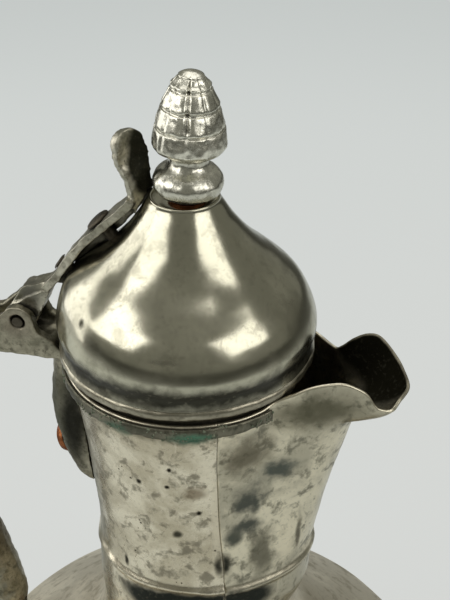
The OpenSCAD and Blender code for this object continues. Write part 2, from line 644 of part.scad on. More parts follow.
module finial_tenon() {
    translate([mouth_x + finial_shift, 0, collar_z - dome_wall - rove_t - braze])
        cylinder(r = tenon_r, h = dome_wall + rove_t + braze + seat_up + 1);
    translate([mouth_x + finial_shift, 0, collar_z - dome_wall - rove_t - braze - 1.2])
        cylinder(r = tenon_r + 1, h = 1.2);
}

module finial_washer() {
    color("peru") translate([mouth_x + finial_shift, 0, collar_z - dome_wall - rove_t - braze / 2]) difference() {
        cylinder(r = tenon_r + 3.5, h = rove_t);
        translate([0, 0, -1]) cylinder(r = tenon_r + rivet_fit, h = rove_t + 2);
    }
}

// ---------------------------------------------------------------- strap
// Radius of the dome's outside at a height above the lid's edge
function dome_at(z) = lookup(z, [for (p = dome_side) [p[1], p[0]]]);
// Clearance of the strap over the dome, from the hinge up to the thumb piece:
// share of the dome's height, and gap beside the dome
strap_gaps = [[0.29, 4.5], [0.375, 1.6], [0.5, 2.3], [0.6, 4.6], [0.676, 5.8], [0.79, 4.6], [0.9, 2.3], [0.95, 2.3]];
strap_low = spline([for (q = strap_gaps) [mouth_x - dome_at(dome_h * q[0]) - q[1], edge_z + dome_h * q[0]]], 4);
strap_top = [for (i = [0 : len(strap_low) - 1]) strap_low[i] + strap_t * side(strap_low, i)];
thumb_foot = strap_low[len(strap_low) - 1] + [1.2, 0];
hump = [pin_x + 4.1, pin_z + 8.3];

// Places strap rivet k (0 low, 1 high): +Z runs from the strap into the lid
strap_spots = [6, 18];
module strap_rivet_place(k) {
    d = side(strap_low, strap_spots[k]);
    s = strap_top[strap_spots[k]] + 0.1 * d;
    translate([s[0], 0, s[1]]) rotate([0, atan2(-d[0], -d[1]), 0]) children();
}
// The dome with a clearance of braze, closed below
module dome_clear() {
    translate([mouth_x, 0, edge_z]) rotate_extrude() polygon(concat([[0, edge_h], [edge_r, edge_h]],
        [for (i = [1 : len(dome_side) - 1]) dome_side[i] - braze * side(dome_side, i)],
        [[collar_r + 0.4 + braze, dome_h - 1], [collar_r + 0.4 + braze, dome_h + braze], [0, dome_h + braze]]));
}

module lid_strap() {
    color("dimgray") difference() {
        union() {
            // Lug on the pin
            rotate([90, 0, 0]) linear_extrude(lobe_w, center = true) union() {
                translate([pin_x, pin_z]) circle(r = lobe_r);
                polygon([[pin_x - lobe_r * 0.9, pin_z + lobe_r * 0.4], [pin_x + lobe_r * 0.9, pin_z - lobe_r * 0.4],
                         strap_low[2], [hump[0] + 2, hump[1] + 2], [hump[0] - 2, hump[1]]]);
            }
            // Hump above it
            rotate([90, 0, 0]) linear_extrude(hump_w, center = true) union() {
                translate(hump) circle(r = hump_r);
                polygon([[pin_x - lobe_r * 0.9, pin_z + lobe_r * 0.4], [hump[0], hump[1] - hump_r],
                         strap_low[2], strap_top[2], [hump[0], hump[1] + hump_r],
                         [hump[0] - hump_r * 0.9, hump[1] + hump_r * 0.4]]);
            }
            // Strap: its far half reaches down to the dome
            rotate([90, 0, 0]) linear_extrude(strap_w, center = true) polygon(strip(strap_low, strap_t));
            translate([0, strap_w / 2, 0]) rotate([90, 0, 0]) linear_extrude(strap_w * 0.45) intersection() {
                polygon(concat(strap_top, [for (i = [len(strap_low) - 1 : -1 : 0]) strap_low[i] - 6 * side(strap_low, i)]));
                translate([-200, edge_z + dome_h * 0.3]) square([200, dome_h * 0.64]);
            }
            thumb();
        }
        dome_clear();
        translate([pin_x, 0, pin_z]) rotate([90, 0, 0]) cylinder(r = pin_r + pin_fit, h = 40, center = true);
        for (k = [0, 1]) strap_rivet_place(k) shank_hole();
    }
}

// Thumb piece: a paddle with a hollow front
module thumb() {
    foot = strap_w * 0.42;
    mid = thumb_h * 0.58;
    translate([thumb_foot[0], 0, thumb_foot[1]]) rotate([0, -thumb_lean, 0]) rotate([0, 0, -thumb_turn]) difference() {
        rotate([90, 0, 90]) linear_extrude(thumb_t, center = true) union() {
            polygon([[-foot, -4], [foot, -4], [foot * 0.92, thumb_h * 0.3], [thumb_w * 0.47, mid],
                     [-thumb_w * 0.5, mid], [-foot * 0.9, thumb_h * 0.3]]);
            translate([0, mid]) square([thumb_w, 0.4], center = true);
            translate([-thumb_w * 0.15, mid + thumb_w * 0.12]) circle(r = thumb_w * 0.35);
            translate([thumb_w * 0.15, mid + thumb_w * 0.12]) circle(r = thumb_w * 0.35);
            translate([0, thumb_h - thumb_w * 0.46]) circle(r = thumb_w * 0.46);
        }
        translate([thumb_t / 2 - thumb_hollow + thumb_w, 0, thumb_h * 0.64]) sphere(r = thumb_w);
    }
}

// Depth from the strap's outer face to the inside of the dome, along rivet k
function dome_depth(p, d, t = 0) =
    mouth_x - p[0] - t * d[0] < dome_at(p[1] + t * d[1] - edge_z) - dome_wall ? t : dome_depth(p, d, t + 0.1);
dome_margin = [1.4, 0.9];          // room for the washers in the dome's curve
strap_depth = [for (k = [0, 1]) let (i = strap_spots[k]) dome_depth(strap_top[i], -side(strap_low, i)) + dome_margin[k]];
strap_head = [[stud_r, stud_t], [flake_r, flake_t]];
module strap_rivet(k) {
    strap_rivet_place(k) rivet(strap_head[k][0], strap_head[k][1], strap_depth[k] + rove_t, shank_r + 0.8);
}
module strap_rove(k) { strap_rivet_place(k) translate([0, 0, strap_depth[k]]) rove(); }
module strap_rivet_lower() { strap_rivet(0); }
module strap_rivet_upper() { strap_rivet(1); }
module strap_rove_lower() { strap_rove(0); }
module strap_rove_upper() { strap_rove(1); }

lower_body();
base_disc();
neck_panel();
spout_panel();
rim_band();
handle();
hinge_pin();
leaf_rivet();
leaf_rove();
lug_rivet_upper();
lug_rivet_lower();
lug_rove_upper();
lug_rove_lower();
lid_dome();
lid_plate();
lid_sleeve();
finial();
finial_washer();
lid_strap();
strap_rivet_upper();
strap_rivet_lower();
strap_rove_upper();
strap_rove_lower();
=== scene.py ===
"""Looks of the dallah coffee pot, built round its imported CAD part.

Lengths in this script are millimetres in the row frame until a mesh is made:
the origin is the middle of the base, +Z up, beak to +X, handle to -X.
"""

import logging
import math
from collections.abc import Callable, Sequence
from dataclasses import dataclass
from enum import Enum

import bmesh
import bpy
import numpy as np
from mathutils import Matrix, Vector, noise


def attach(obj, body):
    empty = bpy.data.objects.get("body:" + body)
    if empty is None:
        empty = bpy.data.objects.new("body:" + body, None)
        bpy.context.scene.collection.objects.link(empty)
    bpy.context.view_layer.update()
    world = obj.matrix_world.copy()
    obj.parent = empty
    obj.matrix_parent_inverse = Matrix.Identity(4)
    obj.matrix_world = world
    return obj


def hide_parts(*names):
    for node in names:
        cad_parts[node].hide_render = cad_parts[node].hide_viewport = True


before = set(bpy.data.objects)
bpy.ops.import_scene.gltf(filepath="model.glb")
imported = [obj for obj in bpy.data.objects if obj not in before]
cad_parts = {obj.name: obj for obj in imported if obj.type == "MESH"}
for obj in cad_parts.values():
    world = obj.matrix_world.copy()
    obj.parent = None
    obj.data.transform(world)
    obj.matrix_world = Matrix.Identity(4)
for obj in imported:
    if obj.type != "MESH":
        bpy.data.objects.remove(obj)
LOG = logging.getLogger("dallah")
MM = 0.001

Point = tuple[float, float, float]
Colour = tuple[float, float, float, float]
Values = float | np.ndarray
Socket = bpy.types.NodeSocket
Shape = Callable[[np.ndarray], np.ndarray]


class Body(Enum):
    """The CAD bodies that pieces ride on."""

    POT = "pot"
    LID = "lid"


class Slot(Enum):
    """Material slot names, passed along with each dressed piece."""

    SHEET = "tinned_sheet"
    POLISHED = "polished_sheet"
    DARK_CAST = "dark_casting"
    LIGHT_CAST = "light_casting"


# ------------------------------------------------------------------ numbers
def lerp(a: Values, b: Values, t: Values) -> Values:
    """Value between a and b, a share t of the way."""
    return a + (b - a) * t


def smooth(t: Values) -> Values:
    """Smooth step from 0 to 1."""
    u = np.clip(t, 0, 1)
    return u * u * (3 - 2 * u)


def bump(x: Values, width: float) -> Values:
    """Bell curve of height 1 and that half width."""
    return np.exp(-((x / width) ** 2))


def spline(points: Sequence[Sequence[float]], steps: int) -> np.ndarray:
    """Catmull-Rom curve through points.

    Args:
        points: the points that the curve goes through.
        steps: how many pieces each stretch is cut in.

    Returns:
        The curve's points as an array.
    """
    p = np.array(points, float)
    out = []
    for i in range(len(p) - 1):
        a, b, c, d = p[max(i - 1, 0)], p[i], p[i + 1], p[min(i + 2, len(p) - 1)]
        for k in range(steps):
            t = k / steps
            bend, twist = 2 * a - 5 * b + 4 * c - d, 3 * b - a - 3 * c + d
            out.append(0.5 * (2 * b + (c - a) * t + bend * t**2 + twist * t**3))
    out.append(p[-1])
    return np.array(out)


def grain(points: np.ndarray, size: float, seed: float, octaves: int = 2) -> np.ndarray:
    """Fractal noise, about -1 to 1, at each point.

    Args:
        points: array of points, in millimetres, last axis x, y, z.
        size: how far apart the noise's bumps are, in millimetres.
        seed: shift of the noise.
        octaves: how many finer layers are added.

    Returns:
        One value per point, in the array's shape.
    """
    flat = points.reshape(-1, 3) / size + (seed, 1.7 * seed, -0.6 * seed)
    return np.array([noise.fractal(Vector(p), 0.9, 2.1, octaves) for p in flat]).reshape(points.shape[:-1])


def inset(outline: np.ndarray, wall: float) -> np.ndarray:
    """Outline moved in by a wall's thickness.

    Args:
        outline: (radius, height) points, from the foot up.
        wall: the thickness.

    Returns:
        The moved points, from the outline's end back to its start.
    """
    points = []
    for i in range(len(outline) - 1, -1, -1):
        d = outline[min(i + 1, len(outline) - 1)] - outline[max(i - 1, 0)]
        d /= np.hypot(*d)
        points.append(outline[i] + wall * np.array([-d[1], d[0]]))
    return np.array(points)


def push_out(grid: np.ndarray, depth: Values, x: float = 0.0) -> np.ndarray:
    """Points moved away from an upright axis.

    Args:
        grid: the points.
        depth: how far each one moves.
        x: where the axis stands.

    Returns:
        The moved points, in the grid's shape.
    """
    out = grid.copy()
    rel = grid - np.array([x, 0, 0])
    radius = np.maximum(np.hypot(rel[..., 0], rel[..., 1]), 1e-6)
    for k in (0, 1):
        out[..., k] += rel[..., k] / radius * depth
    return out


def grid_normals(grid: np.ndarray) -> np.ndarray:
    """Unit normals of a grid of points, one per point."""
    n = np.cross(np.gradient(grid, axis=1), np.gradient(grid, axis=0))
    return n / np.maximum(np.linalg.norm(n, axis=2, keepdims=True), 1e-9)


# ------------------------------------------------------------------- meshes
def new_object(name: str, data: bpy.types.ID) -> bpy.types.Object:
    """New object of that data, linked to the scene at the origin.

    Args:
        name: the object's name.
        data: its mesh, lamp or camera.

    Returns:
        The object.
    """
    obj = bpy.data.objects.new(name, data)
    bpy.context.scene.collection.objects.link(obj)
    return obj


def apply_modifiers(obj: bpy.types.Object) -> None:
    """Makes a piece's modifiers part of its mesh and removes them.

    Args:
        obj: the piece.
    """
    bpy.context.view_layer.update()
    graph = bpy.context.evaluated_depsgraph_get()
    mesh = bpy.data.meshes.new_from_object(obj.evaluated_get(graph))
    obj.modifiers.clear()
    obj.data = mesh
    mesh.name = obj.name


def make_object(name: str, verts: np.ndarray, faces: Sequence[Sequence[int]]) -> bpy.types.Object:
    """Mesh object from points in millimetres, cleaned and turned outwards.

    Args:
        name: the object's name.
        verts: points, in millimetres.
        faces: corner indices of each face.

    Returns:
        The new object, linked to the scene at the origin.
    """
    mesh = bpy.data.meshes.new(name)
    mesh.from_pydata((np.asarray(verts, float) * MM).tolist(), [], [list(f) for f in faces])
    bm = bmesh.new()
    bm.from_mesh(mesh)
    bmesh.ops.remove_doubles(bm, verts=bm.verts, dist=1e-6)
    bmesh.ops.recalc_face_normals(bm, faces=bm.faces)
    bm.to_mesh(mesh)
    bm.free()
    mesh.shade_smooth()
    return new_object(name, mesh)


def sheet_object(name: str, outer: np.ndarray, wall: float, round_top: float = 0.35) -> bpy.types.Object:
    """Sheet metal between a grid of points and the same grid moved in.

    Args:
        name: the object's name.
        outer: grid of outside points, rows from the foot up, open at its sides.
        wall: the sheet's thickness.
        round_top: how far the upper edge bulges, as a share of the wall.

    Returns:
        The sheet as a closed mesh object.
    """
    inner = outer - wall * grid_normals(outer)
    inner[0, :, 2] = outer[0, :, 2]
    up = outer[-1] - outer[-2]
    up /= np.maximum(np.linalg.norm(up, axis=1, keepdims=True), 1e-9)
    top = (outer[-1] + inner[-1]) / 2 + wall * round_top * up
    rows, cols = outer.shape[:2]
    loop = [outer[j] for j in range(rows)] + [top] + [inner[j] for j in range(rows - 1, -1, -1)]
    count = len(loop)
    faces = []
    for j in range(count):
        a, b = j * cols, (j + 1) % count * cols
        faces += [(a + i, a + i + 1, b + i + 1, b + i) for i in range(cols - 1)]
    for i in (0, cols - 1):
        for j in range(rows - 1):
            o, p = j * cols + i, (j + 1) * cols + i
            q, r = (count - 2 - j) * cols + i, (count - 1 - j) * cols + i
            faces.append((o, p, q, r) if i == 0 else (r, q, p, o))
        faces.append(((rows - 1) * cols + i, rows * cols + i, (rows + 1) * cols + i))
    return make_object(name, np.concatenate(loop), faces)


def turned_object(name: str, profile: np.ndarray, segments: int, x: float = 0.0,
                  shape: Shape | None = None) -> bpy.types.Object:
    """Closed solid turned from an outline of (radius, height) points.

    Args:
        name: the object's name.
        profile: outline; where it starts and ends at radius 0 it closes on
            the axis, else it is closed to its start.
        segments: how many columns go round.
        x: where the axis stands.
        shape: moves the grid of points, for dents and flutes.

    Returns:
        The solid as a mesh object.
    """
    a = np.linspace(0, 2 * math.pi, segments, endpoint=False)
    r, z = profile[:, 0][:, None], profile[:, 1][:, None]
    grid = np.stack([x + r * np.cos(a), r * np.sin(a), z + 0 * a], axis=2)
    if shape:
        grid = shape(grid)
    rows = len(profile)
    on_axis = profile[0, 0] < 1e-6 and profile[-1, 0] < 1e-6
    if on_axis:
        grid[0] = grid[0].mean(0)
        grid[-1] = grid[-1].mean(0)
    faces = []
    for j in range(rows - 1 if on_axis else rows):
        b, c = j * segments, (j + 1) % rows * segments
        faces += [(b + i, b + (i + 1) % segments, c + (i + 1) % segments, c + i) for i in range(segments)]
    if on_axis:
        top = (rows - 1) * segments
        joined = [[0 if v < segments else top if v >= top else v for v in f] for f in faces]
        faces = [tuple(dict.fromkeys(f)) for f in joined]
    return make_object(name, grid.reshape(-1, 3), faces)


def cast_object(name: str, node: str, voxel: float, rounds: int, dents: Sequence[Point]) -> bpy.types.Object:
    """A casting: a CAD node's shape with softened edges and a rough skin.

    Args:
        name: the new object's name.
        node: the CAD node whose mesh is copied.
        voxel: size of the remeshed cells, in millimetres.
        rounds: how many times the mesh is smoothed.
        dents: (size, depth, seed) of each layer of surface noise, in millimetres.

    Returns:
        The new object; the node itself isn't changed.
    """
    obj = new_object(name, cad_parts[node].data.copy())
    remesh = obj.modifiers.new("cells", "REMESH")
    remesh.mode = "VOXEL"
    remesh.voxel_size = voxel * MM
    soften = obj.modifiers.new("soften", "SMOOTH")
    soften.factor = 0.5
    soften.iterations = rounds
    apply_modifiers(obj)
    mesh = obj.data
    count = len(mesh.vertices)
    co, normals = np.zeros(count * 3), np.zeros(count * 3)
    mesh.vertices.foreach_get("co", co)
    mesh.vertices.foreach_get("normal", normals)
    co, normals = co.reshape(-1, 3), normals.reshape(-1, 3)
    high = 0.4  # the skin is pressed in from here, so it never stands out of the solid
    for size, depth, seed in dents:
        co += normals * (np.minimum(grain(co / MM, size, seed), high)[:, None] - high) * depth * MM
    mesh.vertices.foreach_set("co", co.ravel())
    mesh.materials.clear()
    mesh.shade_smooth()
    mesh.update()
    return obj


# ------------------------------------------------------------------ shading
def tone(red: float, green: float, blue: float) -> Colour:
    """Linear colour of an sRGB colour given from 0 to 255."""
    parts = (red / 255, green / 255, blue / 255)
    return tuple((c / 12.92 if c <= 0.04045 else ((c + 0.055) / 1.055) ** 2.4) for c in parts) + (1.0,)


class Graph:
    """Adds and links the nodes of one shader or geometry tree."""

    def __init__(self, tree: bpy.types.NodeTree) -> None:
        """Starts on a tree."""
        self.tree = tree

    def add(self, kind: str, inputs: dict | None = None, **settings: object) -> bpy.types.Node:
        """Adds a node.

        Args:
            kind: the node's type name.
            inputs: socket name or number to a value or an output socket.
            settings: properties of the node.

        Returns:
            The node.
        """
        node = self.tree.nodes.new(kind)
        for key, value in settings.items():
            setattr(node, key, value)
        for key, value in (inputs or {}).items():
            self.put(node.inputs[key], value)
        return node

    def put(self, socket: Socket, value: object) -> None:
        """Links an output to a socket, or sets the socket's value.

        Args:
            socket: the input socket.
            value: an output socket, or the value itself.
        """
        if isinstance(value, bpy.types.NodeSocket):
            self.tree.links.new(value, socket)
        else:
            socket.default_value = value

    def math(self, operation: str, a: Socket | float, b: Socket | float = 0.0, clamp: bool = False) -> Socket:
        """Output of a math node."""
        return self.add("ShaderNodeMath", {0: a, 1: b}, operation=operation, use_clamp=clamp).outputs[0]

    def vector(self, operation: str, a: Socket, b: Socket | Point) -> Socket:
        """Output of a vector math node."""
        return self.add("ShaderNodeVectorMath", {0: a, 1: b}, operation=operation).outputs[0]

    def noise(self, at: Socket, scale: Socket | float, detail: float, **inputs: float) -> bpy.types.Node:
        """Noise texture node at those places."""
        extra = {key.capitalize(): value for key, value in inputs.items()}
        return self.add("ShaderNodeTexNoise", {"Vector": at, "Scale": scale, "Detail": detail, **extra})

    def mix(self, factor: Socket, a: Socket | Colour, b: Socket | Colour) -> Socket:
        """Colour between a and b."""
        return self.add("ShaderNodeMix", {0: factor, 6: a, 7: b}, data_type="RGBA").outputs[2]

    def blend_value(self, factor: Socket, a: Socket | float, b: Socket | float) -> Socket:
        """Number between a and b."""
        return self.add("ShaderNodeMix", {0: factor, 2: a, 3: b}, data_type="FLOAT").outputs[0]

    def band(self, value: Socket, low: Socket | float, high: Socket | float) -> Socket:
        """0 below low, 1 above high, smooth between."""
        limits = {0: value, 1: low, 2: high}
        return self.add("ShaderNodeMapRange", limits, interpolation_type="SMOOTHSTEP").outputs[0]

    def finish(self, kind: str, shader: Socket) -> None:
        """Adds the tree's output node and links the shader to it."""
        self.tree.links.new(shader, self.add(kind).inputs[0])


FLOAT, VECTOR = "NodeSocketFloat", "NodeSocketVector"


def shader_group(name: str, inputs: Sequence[tuple[str, str, object]], outputs: Sequence[str],
                 fill: Callable[[Graph, bpy.types.Node, bpy.types.Node], None]) -> bpy.types.NodeTree:
    """Makes a shader node group once.

    Args:
        name: the group's name.
        inputs: (name, socket type, default) of each input after Vector, which all groups have.
        outputs: name of each output, a number.
        fill: adds the nodes, given the graph, the input node and the output node.

    Returns:
        The node group.
    """
    if name in bpy.data.node_groups:
        return bpy.data.node_groups[name]
    tree = bpy.data.node_groups.new(name, "ShaderNodeTree")
    for label, kind, default in [("Vector", VECTOR, (0, 0, 0)), *inputs]:
        tree.interface.new_socket(label, in_out="INPUT", socket_type=kind).default_value = default
    for label in outputs:
        tree.interface.new_socket(label, in_out="OUTPUT", socket_type=FLOAT)
    graph = Graph(tree)
    fill(graph, graph.add("NodeGroupInput"), graph.add("NodeGroupOutput"))
    return tree


def _fill_blotch(g: Graph, i: bpy.types.Node, o: bpy.types.Node) -> None:
    """Fills the group of cloudy patches.

    Args:
        g: the group's graph.
        i: its input node.
        o: its output node.
    """
    tex = g.noise(i.outputs["Vector"], i.outputs["Scale"], 5.0, roughness=0.62, distortion=0.3)
    low = g.math("SUBTRACT", 1.0, i.outputs["Cover"])
    g.put(o.inputs["Mask"], g.band(tex.outputs[0], low, g.math("ADD", low, i.outputs["Soft"])))


def blotch_group() -> bpy.types.NodeTree:
    """Cloudy patches: cover is the share of the noise's range that they take."""
    return shader_group("Blotch", [("Scale", FLOAT, 60.0), ("Cover", FLOAT, 0.5), ("Soft", FLOAT, 0.1)],
                        ["Mask"], _fill_blotch)


def _fill_pits(g: Graph, i: bpy.types.Node, o: bpy.types.Node) -> None:
    """Fills the group of pits: a noise sets where they are and how large they get.

    Args:
        g: the group's graph.
        i: its input node.
        o: its output node.
    """
    at, scale = i.outputs["Vector"], i.outputs["Scale"]
    cells = g.add("ShaderNodeTexVoronoi", {"Vector": at, "Scale": scale, "Randomness": 1.0})
    area = g.noise(at, g.math("MULTIPLY", scale, 0.16), 2.0)
    least = g.math("SUBTRACT", 0.72, i.outputs["Amount"])
    size = g.math("MULTIPLY", g.math("SUBTRACT", area.outputs[0], least, clamp=True), 1.5)
    share = g.math("DIVIDE", cells.outputs["Distance"], g.math("ADD", size, 0.001))
    pit = g.math("SUBTRACT", 1.0, share, clamp=True)
    g.put(o.inputs["Mask"], g.band(pit, 0.0, 0.6))
    g.put(o.inputs["Height"], g.math("MULTIPLY", pit, -1.0))


def pits_group() -> bpy.types.NodeTree:
    """Small pits that crowd in some areas, as a mask and a height."""
    return shader_group("Pits", [("Scale", FLOAT, 700.0), ("Amount", FLOAT, 0.2)], ["Mask", "Height"],
                        _fill_pits)


def _fill_scratch(g: Graph, i: bpy.types.Node, o: bpy.types.Node) -> None:
    """Fills the group of scratches: a stretched noise, seen through a broad one.

    Args:
        g: the group's graph.
        i: its input node.
        o: its output node.
    """
    drawn = g.add("ShaderNodeMapping", {"Vector": i.outputs["Vector"], "Scale": i.outputs["Stretch"]})
    fine = g.noise(drawn.outputs[0], i.outputs["Scale"], 3.0, roughness=0.7)
    where = g.noise(i.outputs["Vector"], 55.0, 1.0)
    line = g.math("MULTIPLY", g.band(fine.outputs[0], 0.58, 0.72), g.band(where.outputs[0], 0.42, 0.6))
    g.put(o.inputs["Mask"], line)
    g.put(o.inputs["Height"], fine.outputs[0])


def scratch_group() -> bpy.types.NodeTree:
    """Fine upright lines, in patches, as a mask and a height."""
    return shader_group("Scratches", [("Scale", FLOAT, 500.0), ("Stretch", VECTOR, (1, 1, 0.08))],
                        ["Mask", "Height"], _fill_scratch)


def _fill_spot(g: Graph, i: bpy.types.Node, o: bpy.types.Node) -> None:
    """Fills the group of one mark, real stained place and painted light alike: distance from its centre,
    pushed about by a noise.

    Args:
        g: the group's graph.
        i: its input node.
        o: its output node.
    """
    rag = g.noise(i.outputs["Vector"], 130.0, 4.0, roughness=0.6)
    off = g.vector("SUBTRACT", rag.outputs[1], (0.5, 0.5, 0.5))
    push = g.add("ShaderNodeVectorMath", {0: off, "Scale": i.outputs["Rag"]}, operation="SCALE")
    moved = g.vector("ADD", i.outputs["Vector"], push.outputs[0])
    local = g.vector("SUBTRACT", moved, i.outputs["Centre"])
    scaled = g.vector("DIVIDE", local, i.outputs["Radii"])
    size = g.add("ShaderNodeVectorMath", {0: scaled}, operation="LENGTH")
    inside = g.math("SUBTRACT", 1.0, i.outputs["Soft"])
    fall = {0: size.outputs["Value"], 1: inside, 2: 1.0, 3: 1.0, 4: 0.0}
    g.put(o.inputs["Mask"], g.add("ShaderNodeMapRange", fall, interpolation_type="SMOOTHSTEP").outputs[0])


def spot_group() -> bpy.types.NodeTree:
    """One ragged mark, real stained place and painted light alike: an ellipsoid about a centre."""
    return shader_group("Spot", [("Centre", VECTOR, (0, 0, 0)), ("Radii", VECTOR, (0.01, 0.01, 0.01)),
                                 ("Rag", FLOAT, 0.01), ("Soft", FLOAT, 0.3)], ["Mask"], _fill_spot)


def _fill_dents(g: Graph, i: bpy.types.Node, o: bpy.types.Node) -> None:
    """Fills the group of hammer marks: soft cells and waves.

    Args:
        g: the group's graph.
        i: its input node.
        o: its output node.
    """
    at, scale = i.outputs["Vector"], i.outputs["Scale"]
    cells = g.add("ShaderNodeTexVoronoi", {"Vector": at, "Scale": scale, "Smoothness": 0.8},
                  feature="SMOOTH_F1")
    waves = g.noise(at, g.math("MULTIPLY", scale, 0.6), 1.0)
    g.put(o.inputs["Height"], g.math("ADD", cells.outputs["Distance"], waves.outputs[0]))


def dents_group() -> bpy.types.NodeTree:
    """Shallow hammer marks, as a height."""
    return shader_group("Dents", [("Scale", FLOAT, 120.0)], ["Height"], _fill_dents)


def _fill_wear(g: Graph, i: bpy.types.Node, o: bpy.types.Node) -> None:
    """Fills the group of wear, from how sharply the surface bends.

    Args:
        g: the group's graph.
        i: its input node.
        o: its output node.
    """
    tex = g.noise(i.outputs["Vector"], 220.0, 3.0)
    broken = g.math("MULTIPLY", g.math("SUBTRACT", tex.outputs[0], 0.5), 0.12)
    bend = g.math("ADD", g.add("ShaderNodeNewGeometry").outputs["Pointiness"], broken)
    g.put(o.inputs["Edge"], g.band(bend, 0.515, 0.6))
    g.put(o.inputs["Hollow"], g.math("SUBTRACT", 1.0, g.band(bend, 0.41, 0.492)))


def wear_group() -> bpy.types.NodeTree:
    """Masks of the worn edges and the grimy hollows."""
    return shader_group("Wear", [], ["Edge", "Hollow"], _fill_wear)


@dataclass(frozen=True)
class StainOrPaintedLight:
    """One mark on a finish: some are real stained, worn or tarnished places, some painted highlights, painted
    shade and painted dark reflections.
    """

    centre: Point
    radii: Point
    colour: Colour
    rough: float
    rag: float = 5.0
    soft: float = 0.75
    strength: float = 1.0
    metal: float = 1.0


@dataclass(frozen=True)
class Tarnish:
    """One layer of tarnish: how much finer than the clouds, its cover and its soft edge."""

    finer: float
    cover: float
    soft: float


CLOUD, FINE, SPECK = Tarnish(1.0, 0.58, 0.2), Tarnish(5.3, 0.5, 0.16), Tarnish(17.0, 0.46, 0.12)
SPECK_DARK, MARK_SPECK, PIT_DARK = 0.25, 0.3, 0.85  # how strongly each darkens the colour under it
PIT_ROUGH, CREVICE_ROUGH = 0.7, 0.75
PIT_DEPTH, SCRATCH_DEPTH = 0.12, 0.02
CREVICE_REACH = 0.006  # metres
GRIT_SCALE = 1400.0


@dataclass(frozen=True)
class Metal:
    """A worn metal finish."""

    name: str
    dark: Colour
    mid: Colour
    light: Colour
    rough: tuple[float, float] = (0.3, 0.5)
    metallic: float = 1.0
    cloud: float = 45.0
    dents: float = 0.05
    dent_scale: float = 120.0
    pits: float = 0.15
    pit_scale: float = 700.0
    # dark colour of pits and hollow grime, also laid as painted shade in crevices
    pit_and_shade_colour: Colour = tone(40, 36, 30)
    grit: float = 0.02
    scratch: float = 0.2
    scratch_stretch: Point = (1.0, 1.0, 0.08)
    edge: float = 0.4
    grime: float = 0.6
    mottle: float = 0.45
    # strength of the painted shade laid in crevices
    crevice_shade: float = 0.0
    stains_and_painted_light: tuple[StainOrPaintedLight, ...] = ()

    def build(self) -> bpy.types.Material:
        """Makes the material.

        Returns:
            The material, which is made once and then reused.
        """
        if self.name in bpy.data.materials:
            return bpy.data.materials[self.name]
        material = bpy.data.materials.new(self.name)
        material.use_nodes = True
        tree = material.node_tree
        tree.nodes.clear()
        g = Graph(tree)
        at = g.add("ShaderNodeTexCoord").outputs["Object"]

        def group(node_tree: bpy.types.NodeTree, **inputs: object) -> Sequence[Socket]:
            """Adds a shared group with those inputs and gives its outputs.

            Args:
                node_tree: the group.
                inputs: value or output socket of each input, by its name in small letters.

            Returns:
                The group node's outputs.
            """
            node = g.add("ShaderNodeGroup", node_tree=node_tree)
            g.put(node.inputs["Vector"], at)
            for key, value in inputs.items():
                g.put(node.inputs[key.capitalize()], value)
            return node.outputs

        cloud, fine, speck = (group(blotch_group(), scale=self.cloud * layer.finer, cover=layer.cover,
                                    soft=layer.soft)[0] for layer in (CLOUD, FINE, SPECK))
        pits = group(pits_group(), scale=self.pit_scale, amount=self.pits)
        lines = group(scratch_group(), stretch=self.scratch_stretch)
        dents = group(dents_group(), scale=self.dent_scale)[0]
        wear = group(wear_group())

        colour = g.mix(cloud, self.mid, self.light)
        colour = g.mix(g.math("MULTIPLY", fine, self.mottle), colour, self.dark)
        colour = g.mix(g.math("MULTIPLY", speck, SPECK_DARK), colour, self.dark)
        colour = g.mix(g.math("MULTIPLY", lines["Mask"], self.scratch), colour, self.light)
        rough = g.blend_value(fine, self.rough[0], self.rough[1])
        metallic = self.metallic
        # marks: real stained and worn places, and also painted highlights, painted shade and painted dark
        # reflections
        for mark in self.stains_and_painted_light:
            mask = group(spot_group(), centre=tuple(c * MM for c in mark.centre),
                         radii=tuple(c * MM for c in mark.radii), rag=mark.rag * MM, soft=mark.soft)[0]
            mask = g.math("MULTIPLY", mask, mark.strength)
            tint = g.mix(g.math("MULTIPLY", speck, MARK_SPECK), mark.colour, self.dark)
            colour = g.mix(mask, colour, tint)
            rough = g.blend_value(mask, rough, mark.rough)
            if mark.metal != 1.0:
                metallic = g.blend_value(mask, metallic, mark.metal)
        colour = g.mix(g.math("MULTIPLY", wear["Hollow"], self.grime), colour, self.pit_and_shade_colour)
        colour = g.mix(g.math("MULTIPLY", wear["Edge"], self.edge), colour, self.light)
        # painted shade: the dark colour is laid where ambient occlusion finds a crevice, standing in for the
        # shade there
        if self.crevice_shade:
            shade = g.add("ShaderNodeAmbientOcclusion", {"Distance": CREVICE_REACH}, samples=4)
            dark = g.math("SUBTRACT", 1.0, g.band(shade.outputs["AO"], 0.15, 0.75))
            deep = g.math("MULTIPLY", dark, self.crevice_shade)
            colour = g.mix(deep, colour, self.pit_and_shade_colour)
            rough = g.blend_value(deep, rough, CREVICE_ROUGH)
        colour = g.mix(g.math("MULTIPLY", pits["Mask"], PIT_DARK), colour, self.pit_and_shade_colour)
        rough = g.blend_value(pits["Mask"], rough, PIT_ROUGH)

        grit = g.noise(at, GRIT_SCALE, 3.0, roughness=0.65)
        height = g.math("MULTIPLY", dents, self.dents)
        height = g.math("ADD", height, g.math("MULTIPLY", pits["Height"], PIT_DEPTH if self.pits else 0.0))
        height = g.math("ADD", height, g.math("MULTIPLY", grit.outputs[0], self.grit))
        height = g.math("ADD", height, g.math("MULTIPLY", lines["Height"], SCRATCH_DEPTH * self.scratch))
        relief = g.add("ShaderNodeBump", {"Height": height, "Strength": 1.0, "Distance": MM})
        shader = g.add("ShaderNodeBsdfPrincipled", {"Base Color": colour, "Roughness": rough,
                                                    "Metallic": metallic, "Normal": relief.outputs[0]})
        g.finish("ShaderNodeOutputMaterial", shader.outputs[0])
        return material


